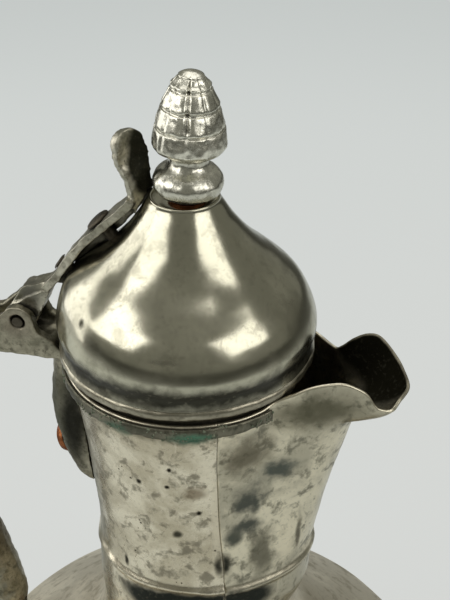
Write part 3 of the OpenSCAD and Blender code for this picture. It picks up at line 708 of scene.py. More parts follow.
# ----------------------------------------------------------------- finishes
BLUE_GREY = tone(96, 100, 92)
SMUT = tone(44, 42, 34)
BELLY = Metal(
    "belly_tin", tone(136, 128, 110), tone(190, 181, 160), tone(212, 203, 182),
    rough=(0.46, 0.58), cloud=28.0,
    dents=0.04, pits=0.06, grit=0.03, scratch=0.3, scratch_stretch=(1.0, 1.0, 0.5), edge=0.2, grime=0.3,
    stains_and_painted_light=(StainOrPaintedLight((0.0, 0.0, 112.0), (46.0, 46.0, 6.0), tone(92, 88, 74), 0.6, rag=7.0),))
NECK_REAR = Metal(
    "neck_tin", tone(128, 122, 106), tone(196, 186, 162), tone(232, 223, 200),
    rough=(0.26, 0.46), cloud=38.0, dents=0.16,
    dent_scale=95.0, pits=0.18, pit_scale=420.0, grit=0.03, scratch=0.7, crevice_shade=0.5, mottle=0.75,
    stains_and_painted_light=(
        # painted shade: the darker grey band down the neck's shaded left side
        StainOrPaintedLight((-37.0, -20.0, 165.0), (10.0, 14.0, 62.0), tone(112, 114, 102), 0.5, rag=7.0, strength=0.8),
        StainOrPaintedLight((-2.6, 0.0, 222.5), (400.0, 400.0, 6.0), tone(112, 110, 94), 0.6, rag=8.0, strength=0.7),
        StainOrPaintedLight((10.0, -41.0, 220.6), (13.0, 6.0, 3.4), tone(74, 112, 90), 0.7, rag=5.0, metal=0.4),
        StainOrPaintedLight((-15.0, -40.5, 220.0), (6.0, 6.0, 3.4), tone(88, 112, 92), 0.7,
              rag=4.0, metal=0.5, strength=0.8),
        # painted dark reflection: the dark band under the bead, where the neck mirrors the belly's shoulder
        StainOrPaintedLight((5.0, -37.0, 139.0), (36.0, 14.0, 8.0), tone(48, 51, 46), 0.6, rag=5.0, soft=0.4),
        # painted highlight: a bright upright streak on the neck's near side
        StainOrPaintedLight((16.0, -34.6, 180.0), (2.4, 4.0, 30.0), tone(222, 212, 188), 0.35, rag=2.0, strength=0.8),
        StainOrPaintedLight((9.0, -36.5, 193.8), (6.5, 6.0, 4.2), tone(124, 106, 82), 0.5, rag=5.0, strength=0.7),
        StainOrPaintedLight((-10.8, -37.9, 196.7), (1.4, 3.0, 1.6), SMUT, 0.7, rag=1.5),
        StainOrPaintedLight((-0.4, -38.9, 196.9), (1.3, 3.0, 1.3), SMUT, 0.7, rag=1.5),
        StainOrPaintedLight((2.7, -37.6, 173.9), (2.6, 3.0, 2.8), tone(84, 82, 70), 0.7, rag=2.5),
        StainOrPaintedLight((-18.6, -32.9, 152.9), (1.6, 3.0, 3.6), tone(70, 68, 58), 0.7, rag=2.0),
        StainOrPaintedLight((0.7, -39.6, 205.3), (1.2, 3.0, 1.4), SMUT, 0.7, rag=1.5),
        StainOrPaintedLight((10.2, -36.3, 184.3), (1.3, 3.0, 1.4), SMUT, 0.7, rag=1.5),
        StainOrPaintedLight((17.0, -33.4, 158.7), (2.6, 4.0, 6.5), tone(62, 62, 54), 0.7, rag=3.0)))
NECK_FRONT = Metal(
    "spout_tin", tone(112, 110, 96), tone(184, 177, 156), tone(226, 217, 192),
    rough=(0.28, 0.46), cloud=34.0, dents=0.16,
    dent_scale=95.0, pits=0.12, pit_scale=420.0, grit=0.03, scratch=0.7, crevice_shade=0.4, mottle=0.75,
    stains_and_painted_light=(
        StainOrPaintedLight((46.0, -18.0, 222.0), (27.0, 16.0, 12.0), tone(104, 101, 82), 0.6, rag=9.0, strength=0.9),
        StainOrPaintedLight((25.0, -30.0, 208.0), (15.0, 14.0, 15.0), tone(104, 98, 80), 0.5, rag=14.0, strength=0.85),
        # painted shade: the dark inside of the beak
        StainOrPaintedLight((52.0, 2.5, 231.0), (36.0, 16.0, 20.0), tone(44, 42, 32), 0.65, rag=2.0, soft=0.2),
        StainOrPaintedLight((36.0, -21.5, 197.0), (13.0, 10.0, 7.5), BLUE_GREY, 0.5, rag=14.0),
        StainOrPaintedLight((26.5, -27.5, 186.0), (9.0, 9.0, 10.0), tone(92, 94, 86), 0.5, rag=14.0),
        StainOrPaintedLight((25.5, -27.5, 174.5), (8.0, 8.0, 5.0), tone(92, 94, 86), 0.5, rag=10.0),
        StainOrPaintedLight((21.5, -30.5, 170.0), (5.0, 6.0, 6.0), tone(98, 100, 90), 0.55, rag=5.0),
        StainOrPaintedLight((19.0, -33.0, 158.7), (3.6, 4.0, 6.5), tone(62, 62, 54), 0.7, rag=3.0),
        # painted dark reflection: the dark band under the bead, where the neck mirrors the belly's shoulder
        StainOrPaintedLight((22.0, -30.0, 139.0), (18.0, 20.0, 8.0), tone(50, 53, 48), 0.6, rag=5.0, soft=0.4),
        StainOrPaintedLight((31.0, -26.0, 160.0), (7.0, 9.0, 19.0), tone(104, 101, 86), 0.5, rag=12.0, strength=0.85),
        # painted highlight: a bright spot on the near side of the keel
        StainOrPaintedLight((39.0, -18.3, 162.0), (8.0, 9.0, 16.0), tone(236, 226, 200), 0.4, rag=8.0, strength=0.8),
        StainOrPaintedLight((42.4, -14.0, 162.0), (1.6, 2.2, 18.0), tone(92, 88, 74), 0.6, rag=3.0, strength=0.8)))
RIM = Metal(
    "rim_tin", tone(52, 54, 45), tone(88, 87, 74), tone(126, 122, 106),
    rough=(0.45, 0.65), cloud=70.0, dents=0.12,
    dent_scale=220.0, pits=0.2, grit=0.06, edge=0.5, grime=0.8, crevice_shade=0.6,
    stains_and_painted_light=(
        StainOrPaintedLight((11.0, -43.0, 223.0), (12.0, 6.0, 3.2), tone(84, 128, 102), 0.75, rag=5.0, metal=0.3),
        StainOrPaintedLight((-16.0, -41.0, 223.0), (7.0, 6.0, 3.0), tone(84, 116, 94), 0.75,
              rag=4.0, metal=0.4, strength=0.8)))
DOME = Metal(
    "dome_tin", tone(146, 142, 124), tone(184, 180, 160), tone(206, 201, 180),
    rough=(0.17, 0.24), cloud=26.0, dents=0.05,
    dent_scale=60.0, pits=0.09, pit_scale=620.0, grit=0.008, scratch=0.2, edge=0.2, grime=0.4,
    stains_and_painted_light=(
        # painted dark reflection: a ragged dark ring round the dome's skirt, above the lid's edge
        StainOrPaintedLight((-2.6, 0.0, 238.8), (400.0, 400.0, 6.0), tone(44, 43, 36), 0.45, rag=6.0, strength=0.95),
        StainOrPaintedLight((40.0, -10.0, 258.0), (8.0, 16.0, 20.0), tone(124, 121, 104), 0.34, rag=4.0, strength=0.6),
        StainOrPaintedLight((-30.0, -33.0, 256.0), (2.0, 3.0, 2.4), tone(70, 68, 56), 0.6, rag=2.5),
        StainOrPaintedLight((0.0, -41.0, 252.0), (9.0, 4.0, 1.6), tone(78, 74, 60), 0.5, rag=3.0, strength=0.7)))
EDGE_RING = Metal(
    "lid_ring_tin", tone(96, 92, 80), tone(150, 144, 126), tone(186, 180, 160),
    rough=(0.32, 0.5), cloud=60.0,
    dents=0.16, dent_scale=150.0, pits=0.12, grit=0.04, edge=0.5, grime=0.7, crevice_shade=0.5)
FINIAL = Metal(
    "finial_cast", tone(130, 128, 116), tone(206, 203, 188), tone(240, 236, 220),
    rough=(0.24, 0.4), cloud=90.0,
    dents=0.22, dent_scale=330.0, pits=0.18, pit_scale=900.0, grit=0.05, scratch=0.1, edge=0.35, grime=0.8,
    crevice_shade=0.5)
CAST = Metal(
    "dark_cast", tone(70, 68, 56), tone(128, 124, 106), tone(172, 166, 146),
    rough=(0.4, 0.58), cloud=80.0, dents=0.2,
    dent_scale=260.0, pits=0.22, pit_scale=800.0, grit=0.1, scratch=0.1, edge=0.45, grime=0.9, crevice_shade=0.75,
    stains_and_painted_light=(
        StainOrPaintedLight((-52.0, 0.0, 196.0), (18.0, 20.0, 32.0), tone(92, 94, 80), 0.6, rag=6.0, strength=0.8),
        # painted shade: the black near side of the handle's leaf, beside the neck
        StainOrPaintedLight((-44.0, -12.0, 199.0), (9.0, 8.0, 34.0), tone(30, 30, 26), 0.7, rag=4.0, strength=0.9),
        StainOrPaintedLight((-63.3, -9.0, 235.5), (10.0, 2.5, 9.0), tone(164, 156, 138), 0.55, rag=3.0, strength=0.9),
        StainOrPaintedLight((-63.3, -9.0, 235.9), (2.9, 3.0, 2.9), tone(74, 44, 30), 0.7, rag=1.6),
        StainOrPaintedLight((-92.0, 0.0, 150.0), (34.0, 20.0, 60.0), tone(92, 78, 58), 0.5, rag=9.0, strength=0.8)))
BAR = Metal(
    "bar_cast", tone(92, 90, 78), tone(164, 160, 142), tone(204, 198, 180),
    rough=(0.34, 0.5), cloud=80.0, dents=0.16,
    dent_scale=260.0, pits=0.18, pit_scale=800.0, grit=0.08, scratch=0.1, edge=0.5, grime=0.85, crevice_shade=0.8,
    stains_and_painted_light=(
        # painted shade: the near-black front face of the thumb piece, turned away from the light
        StainOrPaintedLight((-16.0, 0.5, 302.0), (6.5, 7.5, 16.0), tone(52, 51, 42), 0.5, rag=3.0, soft=0.3),
        # painted highlight: a lighter patch on the top of the strap
        StainOrPaintedLight((-38.0, 0.0, 275.0), (15.0, 9.0, 13.0), tone(138, 135, 122), 0.45, rag=4.0, strength=0.8),
        StainOrPaintedLight((-59.0, 0.0, 245.0), (8.0, 9.0, 8.0), tone(112, 110, 100), 0.5, rag=4.0),
        StainOrPaintedLight((-48.0, 0.0, 252.0), (7.0, 9.0, 9.0), tone(84, 80, 68), 0.5, rag=4.0, strength=0.7)))
COPPER = Metal(
    "worn_copper", tone(64, 36, 20), tone(118, 68, 40), tone(156, 98, 62),
    rough=(0.4, 0.6), cloud=160.0,
    dents=0.15, dent_scale=330.0, pits=0.12, grit=0.06, edge=0.4, grime=0.8, crevice_shade=0.3)
SOOT = Metal(
    "dark_metal", tone(40, 36, 30), tone(66, 61, 52), tone(96, 90, 78),
    rough=(0.5, 0.7), cloud=90.0, grit=0.06,
    pits=0.1)
CRUST = Metal(
    "rim_crust", tone(58, 74, 60), tone(92, 108, 88), tone(132, 134, 112),
    rough=(0.7, 0.85), metallic=0.3,
    cloud=240.0, pits=0.0, grit=0.1)
PLAIN = {  # CAD nodes that keep their own mesh
    "leaf_rivet": COPPER, "hinge_pin": SOOT, "strap_rivet_upper": SOOT, "strap_rivet_lower": SOOT,
    "lug_rivet_upper": COPPER, "lug_rivet_lower": COPPER, "base_disc": BELLY, "leaf_rove": COPPER,
    "lug_rove_upper": COPPER, "lug_rove_lower": COPPER, "finial_washer": COPPER, "strap_rove_upper": COPPER,
    "strap_rove_lower": COPPER}


def dress(obj: bpy.types.Object, body: Body, slot: Slot, finish: Metal, *nodes: str) -> bpy.types.Object:
    """Gives a piece its finish and its place in the object.

    Args:
        obj: the piece.
        body: the CAD body that it rides on.
        slot: a material slot name; not used.
        finish: the finish.
        nodes: the CAD nodes that it stands for.

    Returns:
        The piece.
    """
    obj.data.materials.clear()
    obj.data.materials.append(finish.build())
    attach(obj, body.value)
    if nodes:
        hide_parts(*nodes)
    LOG.info("%s: %d faces, for %s", obj.name, len(obj.data.polygons), ", ".join(nodes) or "no node")
    return obj


# --------------------------------------------------------------------- belly
@dataclass
class Belly:
    """Raised belly in one sheet."""

    hip_r: float = 104.0
    hip_h: float = 36.5
    hip_bend: float = 18.0
    foot_bend: float = 46.0
    waist_r: float = 37.6
    waist_h: float = 115.0
    flare_bend: float = 28.4
    wall: float = 1.4
    foot_z: float = 113.0
    collar_r: float = 36.0
    collar_len: float = 12.0

    @staticmethod
    def arc(centre: np.ndarray, radius: float, angles: np.ndarray) -> np.ndarray:
        """Points of an arc."""
        return np.stack([centre[0] + radius * np.cos(angles), centre[1] + radius * np.sin(angles)], 1)

    def side(self) -> np.ndarray:
        """Outside outline: foot, hip, straight shoulder, then the flare up to the neck.

        Returns:
            (radius, height) points from the base up to the neck's foot.
        """
        flare = np.array([self.waist_r + self.flare_bend, self.waist_h])
        hip = np.array([self.hip_r - self.hip_bend, self.hip_h])
        foot = np.array([self.hip_r - self.foot_bend, self.hip_h])
        gap = flare - hip
        slope = math.atan2(gap[1], gap[0]) - math.acos((self.flare_bend + self.hip_bend) / np.hypot(*gap))
        low = math.asin(self.hip_h / self.foot_bend)
        base = self.arc(foot, self.foot_bend, np.linspace(-low, 0, 24)[:-1])
        bend = self.arc(hip, self.hip_bend, np.linspace(0, slope, 20))
        flat = self.arc(flare, self.flare_bend, np.linspace(math.pi + slope, math.pi, 24))
        shoulder = lerp(bend[-1], flat[0], np.linspace(0, 1, 26)[1:-1, None])
        side = np.concatenate([base, bend, shoulder, flat])
        return side[side[:, 1] < self.foot_z - 0.4]

    def dent(self, grid: np.ndarray) -> np.ndarray:
        """Beats the belly's outside and leaves the foot and the collar true.

        Args:
            grid: the turned points.

        Returns:
            The moved points.
        """
        body = smooth((self.foot_z - 2 - grid[..., 2]) / 10) * (grid[..., 2] > 1)
        depth = 0.30 * (grain(grid, 34, 3.1) - 0.7) + 0.10 * (grain(grid, 11, 8.4) - 0.7)
        return push_out(grid, depth * body)

    def build(self) -> bpy.types.Object:
        """Makes the belly with its hammer dents and its collar.

        Returns:
            The belly.
        """
        top, collar = self.foot_z, self.collar_r
        step = [[self.waist_r + 0.1, top - 0.3], [self.waist_r, top], [collar + 0.2, top],
                [collar, top + 0.4], [collar, top + self.collar_len]]
        side = np.concatenate([self.side(), step])
        inner = inset(side, self.wall)
        narrow = np.minimum(inner[:, 0], collar - self.wall)
        inner[:, 0] = np.where(inner[:, 1] > top - 8, narrow, inner[:, 0])
        inner[-1, 1] = side[0, 1]
        return turned_object("belly", np.concatenate([side, inner]), 288, shape=self.dent)


# ---------------------------------------------------------------------- neck
@dataclass
class Neck:
    """Two-panel neck with its bead, its beak and the band round its mouth."""

    foot_z: float = 113.0
    height: float = 113.5
    foot_r: float = 37.6
    mouth_r: float = 43.6
    mouth_set: float = 2.6
    wall: float = 1.3
    flare: float = 5.0
    swell: float = 1.0
    bow: float = 1.6
    bead_z: float = 146.0
    bead_h: float = 1.4
    bead_w: float = 1.7
    bead_step: float = 1.6
    seam: float = 62.0
    seam_gap: float = 0.1
    chin_z: float = 213.0
    chin_reach: float = 62.0
    keel_step: float = 6.7
    beak_side: float = 26.0
    beak_end: float = 12.0
    lip_half: float = 41.0
    lip: tuple[Point, ...] = (
        (32.9, -28.6, 0.0), (37.3, -25.0, 1.45), (47.0, -19.5, 5.2), (57.2, -15.0, 5.8), (63.5, -13.5, 3.2),
        (66.7, -13.0, 0.6), (69.9, -12.5, -4.3), (75.0, -10.0, -6.2), (77.3, -7.0, -3.7), (79.7, -3.0, 0.0),
        (77.0, 5.0, 1.4), (73.1, 10.0, 4.3), (67.5, 13.5, 8.2), (62.8, 14.5, 8.2), (57.9, 15.0, 5.3),
        (53.6, 16.0, 0.5), (51.1, 17.5, -1.2), (43.0, 20.0, 2.9), (35.9, 26.1, 1.2), (32.4, 29.2, 0.0))
    band_h: float = 4.5
    band_end: float = 36.0
    leaf_half: float = 10.5
    band_edge: tuple[tuple[float, float], ...] = (
        (0.3, 0.3), (0.7, 0.0), (1.2, 0.25), (1.5, 0.9), (1.55, 2.2), (1.5, 3.6), (1.2, 4.3), (0.8, 4.5),
        (0.3, 4.4))

    @property
    def rim_z(self) -> float:
        """Height of the rim."""
        return self.foot_z + self.height

    def middle(self, z: Values) -> Values:
        """Where the neck's middle stands at height z.

        Args:
            z: the height.

        Returns:
            The middle's place along X.
        """
        bow = bump(z - self.bead_z - 4, 22) - bump(self.bead_z - self.foot_z + 4, 22)
        return -self.mouth_set * (z - self.foot_z) / self.height + self.bow * bow

    def radius(self, z: Values) -> Values:
        """Outside radius at height z, without the bead.

        Args:
            z: the height.

        Returns:
            The radius.
        """
        up = np.maximum(0, (z - self.foot_z) / self.height)
        flare = (self.mouth_r - self.foot_r) * up**self.flare
        return self.foot_r + flare + self.swell * bump(z - self.foot_z - 25, 17)

    def bead(self, z: Values, shift: Values) -> Values:
        """How far the bead stands out at height z."""
        return self.bead_h * bump(z - self.bead_z - shift, self.bead_w)

    def keel(self, z: Values) -> Values:
        """Reach of the front panel's keel at height z.

        Args:
            z: the height.

        Returns:
            The keel's distance from the middle.
        """
        up = np.maximum(0, (z - self.bead_z - 2) / (self.chin_z - self.bead_z - 2))
        rise = (self.chin_reach - self.foot_r - self.keel_step) * up**1.1
        return self.foot_r + self.keel_step * smooth((z - self.foot_z) / 20) + rise

    def front(self, a: Values, z: Values) -> Values:
        """Shape of the front panel below the chin.

        Args:
            a: angle from the beak, in degrees.
            z: the height.

        Returns:
            The outside radius.
        """
        r = self.radius(z)
        power = lerp(2, 5, smooth((z - self.foot_z) / self.height * 1.1))
        return r + (self.keel(z) - r) * np.cos(np.radians(90 * a / self.seam)) ** power

    def lip_line(self, a: np.ndarray) -> tuple[np.ndarray, np.ndarray]:
        """Course of the beak's lip.

        Args:
            a: angles, in degrees.

        Returns:
            The lip's radius and its height above the rim, at those angles.
        """
        p = spline(self.lip, 8)
        angle, radius = np.degrees(np.arctan2(p[:, 1], p[:, 0])), np.hypot(p[:, 0], p[:, 1])
        inside = np.abs(a) < self.lip_half
        reach = np.where(inside, np.interp(a, angle, radius), self.mouth_r)
        return reach, np.where(inside, np.interp(a, angle, p[:, 2]), 0.0)

    def dent(self, grid: np.ndarray, amount: np.ndarray) -> np.ndarray:
        """Beats hand-made unevenness into a panel, clear of its edges.

        Args:
            grid: the panel's points.
            amount: share of the depth at each point.

        Returns:
            The moved points.
        """
        depth = 0.34 * grain(grid, 21, 5.2) + 0.16 * grain(grid, 8, 9.9) + 0.05 * grain(grid, 3, 2.2)
        return grid + grid_normals(grid) * (depth * amount)[..., None]

    def heights(self, below: float, above: float, top: float, rows: int) -> np.ndarray:
        """Heights of a panel's rows, closer together on the bead.

        Args:
            below: where the close rows start under the bead.
            above: where they end over it.
            top: the last height.
            rows: how many rows lie over the bead.

        Returns:
            The heights as a column.
        """
        low, high = self.bead_z - below, self.bead_z + above
        return np.concatenate([np.linspace(self.foot_z, low, 34)[:-1], np.linspace(low, high, 22)[:-1],
                               np.linspace(high, top, rows)])[:, None]

    def rear_grid(self) -> np.ndarray:
        """Shape of the rear panel.

        Returns:
            Outside points, rows from the foot up.
        """
        z = self.heights(4, 5, self.rim_z, 74)
        a = np.linspace(self.seam + self.seam_gap, 360 - self.seam - self.seam_gap, 240)[None, :]
        near = bump(a - (360 - self.seam), 3.2)
        wobble = 0.5 * np.sin(np.radians(a * 3 + 40)) + 0.3 * np.sin(np.radians(a * 7))
        uneven = 0.85 + 0.15 * np.sin(np.radians(a * 5))
        r = self.radius(z) + self.bead(z, self.bead_step / 2 + wobble * 0.4) * uneven
        # the panel's edge is folded up a little along the seam
        r = r + 0.7 * near * smooth((z - self.bead_z - 2) / 10) * (1 - smooth((z - self.rim_z + 34) / 12))
        t = np.radians(a)
        grid = np.stack([self.middle(z) + r * np.cos(t), r * np.sin(t), z + 0 * a], 2)
        edge = smooth((z - self.foot_z) / 6) * smooth((self.rim_z - z) / 5 + 0.25)
        return self.dent(grid, edge + 0 * a)

    def front_grid(self) -> np.ndarray:
        """Shape of the front panel: the keel up to the chin, then the beak up to the lip.

        Returns:
            Outside points, rows from the foot up.
        """
        s = np.linspace(-1, 1, 181)
        spread = 0.5 * np.abs(s) + 0.5 * np.abs(s) ** 3
        a = (np.sign(s) * (self.seam - self.seam_gap) * spread)[None, :]
        z = self.heights(5, 4, self.chin_z, 60)
        wobble = 0.5 * np.sin(np.radians(a * 4))
        r = self.front(a, z) + self.bead(z, -self.bead_step / 2 + wobble * 0.4)
        t = np.radians(a)
        low = np.stack([self.middle(z) + r * np.cos(t), r * np.sin(t), z + 0 * a], 2)
        chin = low[-1]
        (tip_r, tip_z), q = self.lip_line(a[0]), np.linspace(0, 1, 49)[1:, None]
        tip = np.stack([-self.mouth_set + tip_r * np.cos(t[0]), tip_r * np.sin(t[0]), self.rim_z + tip_z], 1)
        w = smooth((np.abs(a) - self.beak_side) / self.beak_end)
        swing = np.radians(90 * q)
        out = lerp((np.sin(swing) + q) / 2, 1 - np.cos(swing), w)
        rise = lerp((1 - np.cos(swing) + q) / 2, q, w)
        zz = lerp(chin[None, :, 2], tip[None, :, 2], rise)
        side = self.radius(np.minimum(zz, self.rim_z))
        mid = self.middle(np.minimum(zz, self.rim_z))
        x = lerp(lerp(chin[None, :, 0], tip[None, :, 0], out), mid + side * np.cos(t), w)
        y = lerp(lerp(chin[None, :, 1], tip[None, :, 1], out), side * np.sin(t), w)
        grid = np.concatenate([low, np.stack([x, y, zz], 2)])
        # the panel bends softly where the beak starts
        bend = bump(np.arange(len(grid)) - len(low), 9)[:, None, None]
        for _ in range(40):
            soft = grid.copy()
            soft[1:-1] = (grid[:-2] + 2 * grid[1:-1] + grid[2:]) / 4
            grid = lerp(grid, soft, bend)
        edge = smooth((grid[..., 2] - self.foot_z) / 6) * smooth((self.seam - np.abs(a)) / 5 + 0.1)
        return self.dent(grid, edge * np.linspace(1, 0.5, len(grid))[:, None])

    def band_length(self, sign: int) -> tuple[np.ndarray, list[tuple[int, ...]]]:
        """One length of the strip round the mouth, from the beak to the handle's leaf.

        Args:
            sign: -1 for the near side, 1 for the far side.

        Returns:
            The length's points and its faces.
        """
        leaf = math.degrees(math.asin(self.leaf_half / self.mouth_r))
        angles = np.linspace(sign * self.band_end, sign * (180 - leaf), 150)[::sign]
        verts = []
        for angle in angles:
            t = math.radians(angle)
            here = Vector((math.cos(t) * 9, math.sin(t) * 9, sign))
            thick = 0.78 + 0.2 * noise.noise(here)
            drop = 0.9 * max(0.0, noise.noise(here * 1.7 + Vector((4, 2, 1))))
            for r, z in self.band_edge:
                radius = self.mouth_r + 0.3 + (r - 0.3) * thick
                height = self.rim_z - self.band_h + z + (drop if z < 1.5 else 0)
                verts.append((-self.mouth_set + radius * math.cos(t), radius * math.sin(t), height))
        m, last = len(self.band_edge), (len(angles) - 1) * len(self.band_edge)
        faces = [(i + k, i + m + k, i + m + (k + 1) % m, i + (k + 1) % m)
                 for i in range(0, last, m) for k in range(m)]
        faces += [tuple(range(m)), tuple(range(last, last + m))[::-1]]
        return np.array(verts), faces

    def build_band(self) -> bpy.types.Object:
        """Makes the strip brazed round the mouth, in two lengths.

        Returns:
            Both lengths as one object.
        """
        (near, faces), (far, more) = self.band_length(-1), self.band_length(1)
        faces += [tuple(i + len(near) for i in f) for f in more]
        return make_object("rim_strip", np.concatenate([near, far]), faces)

    def build(self) -> list[bpy.types.Object]:
        """Makes the panels and the band.

        Returns:
            Rear panel, front panel and band.
        """
        return [sheet_object("rear_panel", self.rear_grid(), self.wall),
                sheet_object("beak_panel", self.front_grid(), self.wall, round_top=0.4), self.build_band()]


@dataclass
class Crust:
    """Grains of verdigris scattered on the band with Geometry Nodes."""

    density: float = 0.34
    grain: float = 0.42
    seed: int = 7
    patch_scale: float = 70.0
    patch_cover: float = 0.5
    least: Point = (0.5, 0.5, 0.3)
    most: Point = (1.6, 1.6, 0.9)

    def tree(self) -> bpy.types.NodeTree:
        """Makes the scattering node tree, with its inputs named.

        Returns:
            The tree: points on the faces, thinned in patches, a turned and stretched ball on each.
        """
        tree = bpy.data.node_groups.new("Scatter grains", "GeometryNodeTree")
        for label, kind in (("Geometry", "NodeSocketGeometry"), ("Density", FLOAT), ("Grain", FLOAT),
                            ("Seed", "NodeSocketInt"), ("Finish", "NodeSocketMaterial")):
            tree.interface.new_socket(label, in_out="INPUT", socket_type=kind)
        tree.interface.new_socket("Geometry", in_out="OUTPUT", socket_type="NodeSocketGeometry")
        g = Graph(tree)
        i, o = g.add("NodeGroupInput"), g.add("NodeGroupOutput")
        points = g.add("GeometryNodeDistributePointsOnFaces", {
            "Mesh": i.outputs["Geometry"], "Density": i.outputs["Density"], "Seed": i.outputs["Seed"]})
        patch = g.add("ShaderNodeTexNoise", {"Scale": self.patch_scale, "Detail": 2.0})
        bare = g.add("FunctionNodeCompare", {0: patch.outputs[0], 1: self.patch_cover}, operation="LESS_THAN")
        thin = g.add("GeometryNodeDeleteGeometry", {"Geometry": points.outputs["Points"],
                                                    "Selection": bare.outputs[0]}, domain="POINT")
        ball = g.add("GeometryNodeMeshIcoSphere", {"Radius": i.outputs["Grain"], "Subdivisions": 2})
        turn, size = (g.add("FunctionNodeRandomValue", {"Seed": i.outputs["Seed"], "Min": low, "Max": high},
                            data_type="FLOAT_VECTOR")
                      for low, high in (((0.0,) * 3, (math.tau,) * 3), (self.least, self.most)))
        placed = g.add("GeometryNodeInstanceOnPoints", {
            "Points": thin.outputs[0], "Instance": ball.outputs["Mesh"], "Rotation": turn.outputs[0],
            "Scale": size.outputs[0]})
        real = g.add("GeometryNodeRealizeInstances", {"Geometry": placed.outputs[0]})
        shaded = g.add("GeometryNodeSetMaterial", {"Geometry": real.outputs[0],
                                                   "Material": i.outputs["Finish"]})
        g.put(o.inputs["Geometry"], shaded.outputs[0])
        return tree

    def build(self, band: bpy.types.Object) -> bpy.types.Object:
        """Scatters the grains over the band.

        Args:
            band: the piece that the grains sit on.

        Returns:
            The grains as one plain mesh object.
        """
        obj = new_object("rim_grains", band.data.copy())
        scatter = obj.modifiers.new("scatter", "NODES")
        scatter.node_group = self.tree()
        sockets = scatter.node_group.interface.items_tree
        ids = {item.name: item.identifier for item in sockets if item.in_out == "INPUT"}
        values = {"Density": self.density / MM**2, "Grain": self.grain * MM, "Seed": self.seed,
                  "Finish": CRUST.build()}
        for label, value in values.items():
            scatter[ids[label]] = value
        apply_modifiers(obj)
        return obj


# ----------------------------------------------------------------------- lid
@dataclass
class Lid:
    """Domed lid with its closing plate and its sleeve."""

    x: float = -2.6
    edge_z: float = 230.0
    edge_r: float = 45.6
    edge_h: float = 4.2
    wall: float = 1.2
    collar_r: float = 9.5
    sleeve_r: float = 40.4
    sleeve_h: float = 9.0
    sleeve_t: float = 1.3
    side: tuple[tuple[float, float], ...] = (
        (45.3, 4.35), (45.05, 5.6), (44.85, 7.2), (45.1, 8.8), (45.7, 10.6), (45.9, 12.2), (45.65, 15.4),
        (44.0, 21.2), (41.0, 26.9), (34.8, 33.0), (27.8, 39.0), (22.0, 45.1), (17.3, 51.1), (14.0, 56.2),
        (12.3, 59.0), (12.0, 60.1))
    collar: tuple[tuple[float, float], ...] = (
        (11.7, 60.45), (11.1, 60.3), (10.9, 59.7), (10.9, 58.9), (9.0, 58.75), (2.6, 58.7), (2.6, 58.0))

    def beat_dome(self, grid: np.ndarray) -> np.ndarray:
        """Beats the dome's side and its skirt.

        Args:
            grid: the turned points.

        Returns:
            The moved points.
        """
        z = grid[..., 2] - self.edge_z
        skirt = bump(z - 6.5, 3.6)
        soft = smooth(z / 12) * smooth((60 - z) / 14)
        depth = 0.32 * (grain(grid, 30, 1.4) - 0.55) * soft
        depth = depth + 0.5 * (grain(grid, 9, 6.6) - 0.6) * skirt + 0.03 * (grain(grid, 5, 3.3) - 0.8)
        out = push_out(grid, depth, self.x)
        out[..., 0] -= 0.9 * bump(z - 30, 10)
        return out

    def build_dome(self) -> bpy.types.Object:
        """Makes the dome with its dents, and its collar open in the middle.

        Returns:
            The dome.
        """
        out = spline(self.side, 7)
        under = self.collar[-1][1] - 0.1
        back = [(max(r, self.collar_r), z) for r, z in inset(out, self.wall) if z < under]
        profile = np.concatenate([out, np.array(self.collar), np.array(back)])
        profile[:, 1] += self.edge_z
        return turned_object("dome", profile, 256, self.x, self.beat_dome)

    def beat_edge(self, grid: np.ndarray) -> np.ndarray:
        """Makes the rolled edge uneven.

        Args:
            grid: the turned points.

        Returns:
            The moved points.
        """
        outer = smooth((np.maximum(np.hypot(grid[..., 0] - self.x, grid[..., 1]), 1e-6) - 42) / 2)
        depth = 0.35 * (grain(grid, 14, 4.4) - 0.6) + 0.2 * (grain(grid, 4, 7.1) - 0.6)
        return push_out(grid, depth * outer, self.x)

    def build_plate(self) -> bpy.types.Object:
        """Makes the plate under the dome, with its rolled edge.

        Returns:
            The plate.
        """
        e, h = self.edge_r, self.edge_h
        edge = [(0, 0), (20, 0), (36, 0), (e - 2.2, 0), (e - 1.1, 0.12), (e - 0.4, 0.5), (e - 0.05, 1.2),
                (e, 2.1), (e - 0.1, 2.9), (e - 0.5, 3.6), (e - 1.2, 4.1), (e - 2.2, h), (e - 3.2, 4.1),
                (e - 3.4, 3.4), (e - 3.5, 1.6), (e - 4.0, 1.2), (36, 1.2), (20, 1.2), (0, 1.2)]
        profile = np.array(edge, float)
        profile[:, 1] += self.edge_z
        return turned_object("lid_edge", profile, 256, self.x, self.beat_edge)

    def build_sleeve(self) -> bpy.types.Object:
        """Makes the sleeve that guides the lid into the mouth.

        Returns:
            The sleeve.
        """
        r, t, z, low = self.sleeve_r, self.sleeve_t, self.edge_z, self.edge_z - self.sleeve_h
        profile = np.array([(r, z - 0.02), (r, z - 4), (r - 0.05, low + 0.5), (r - 0.4, low),
                            (r - t + 0.2, low), (r - t, low + 0.5), (r - t, z - 4), (r - t, z - 0.02)])
        return turned_object("lid_collar", profile[::-1], 160, self.x)


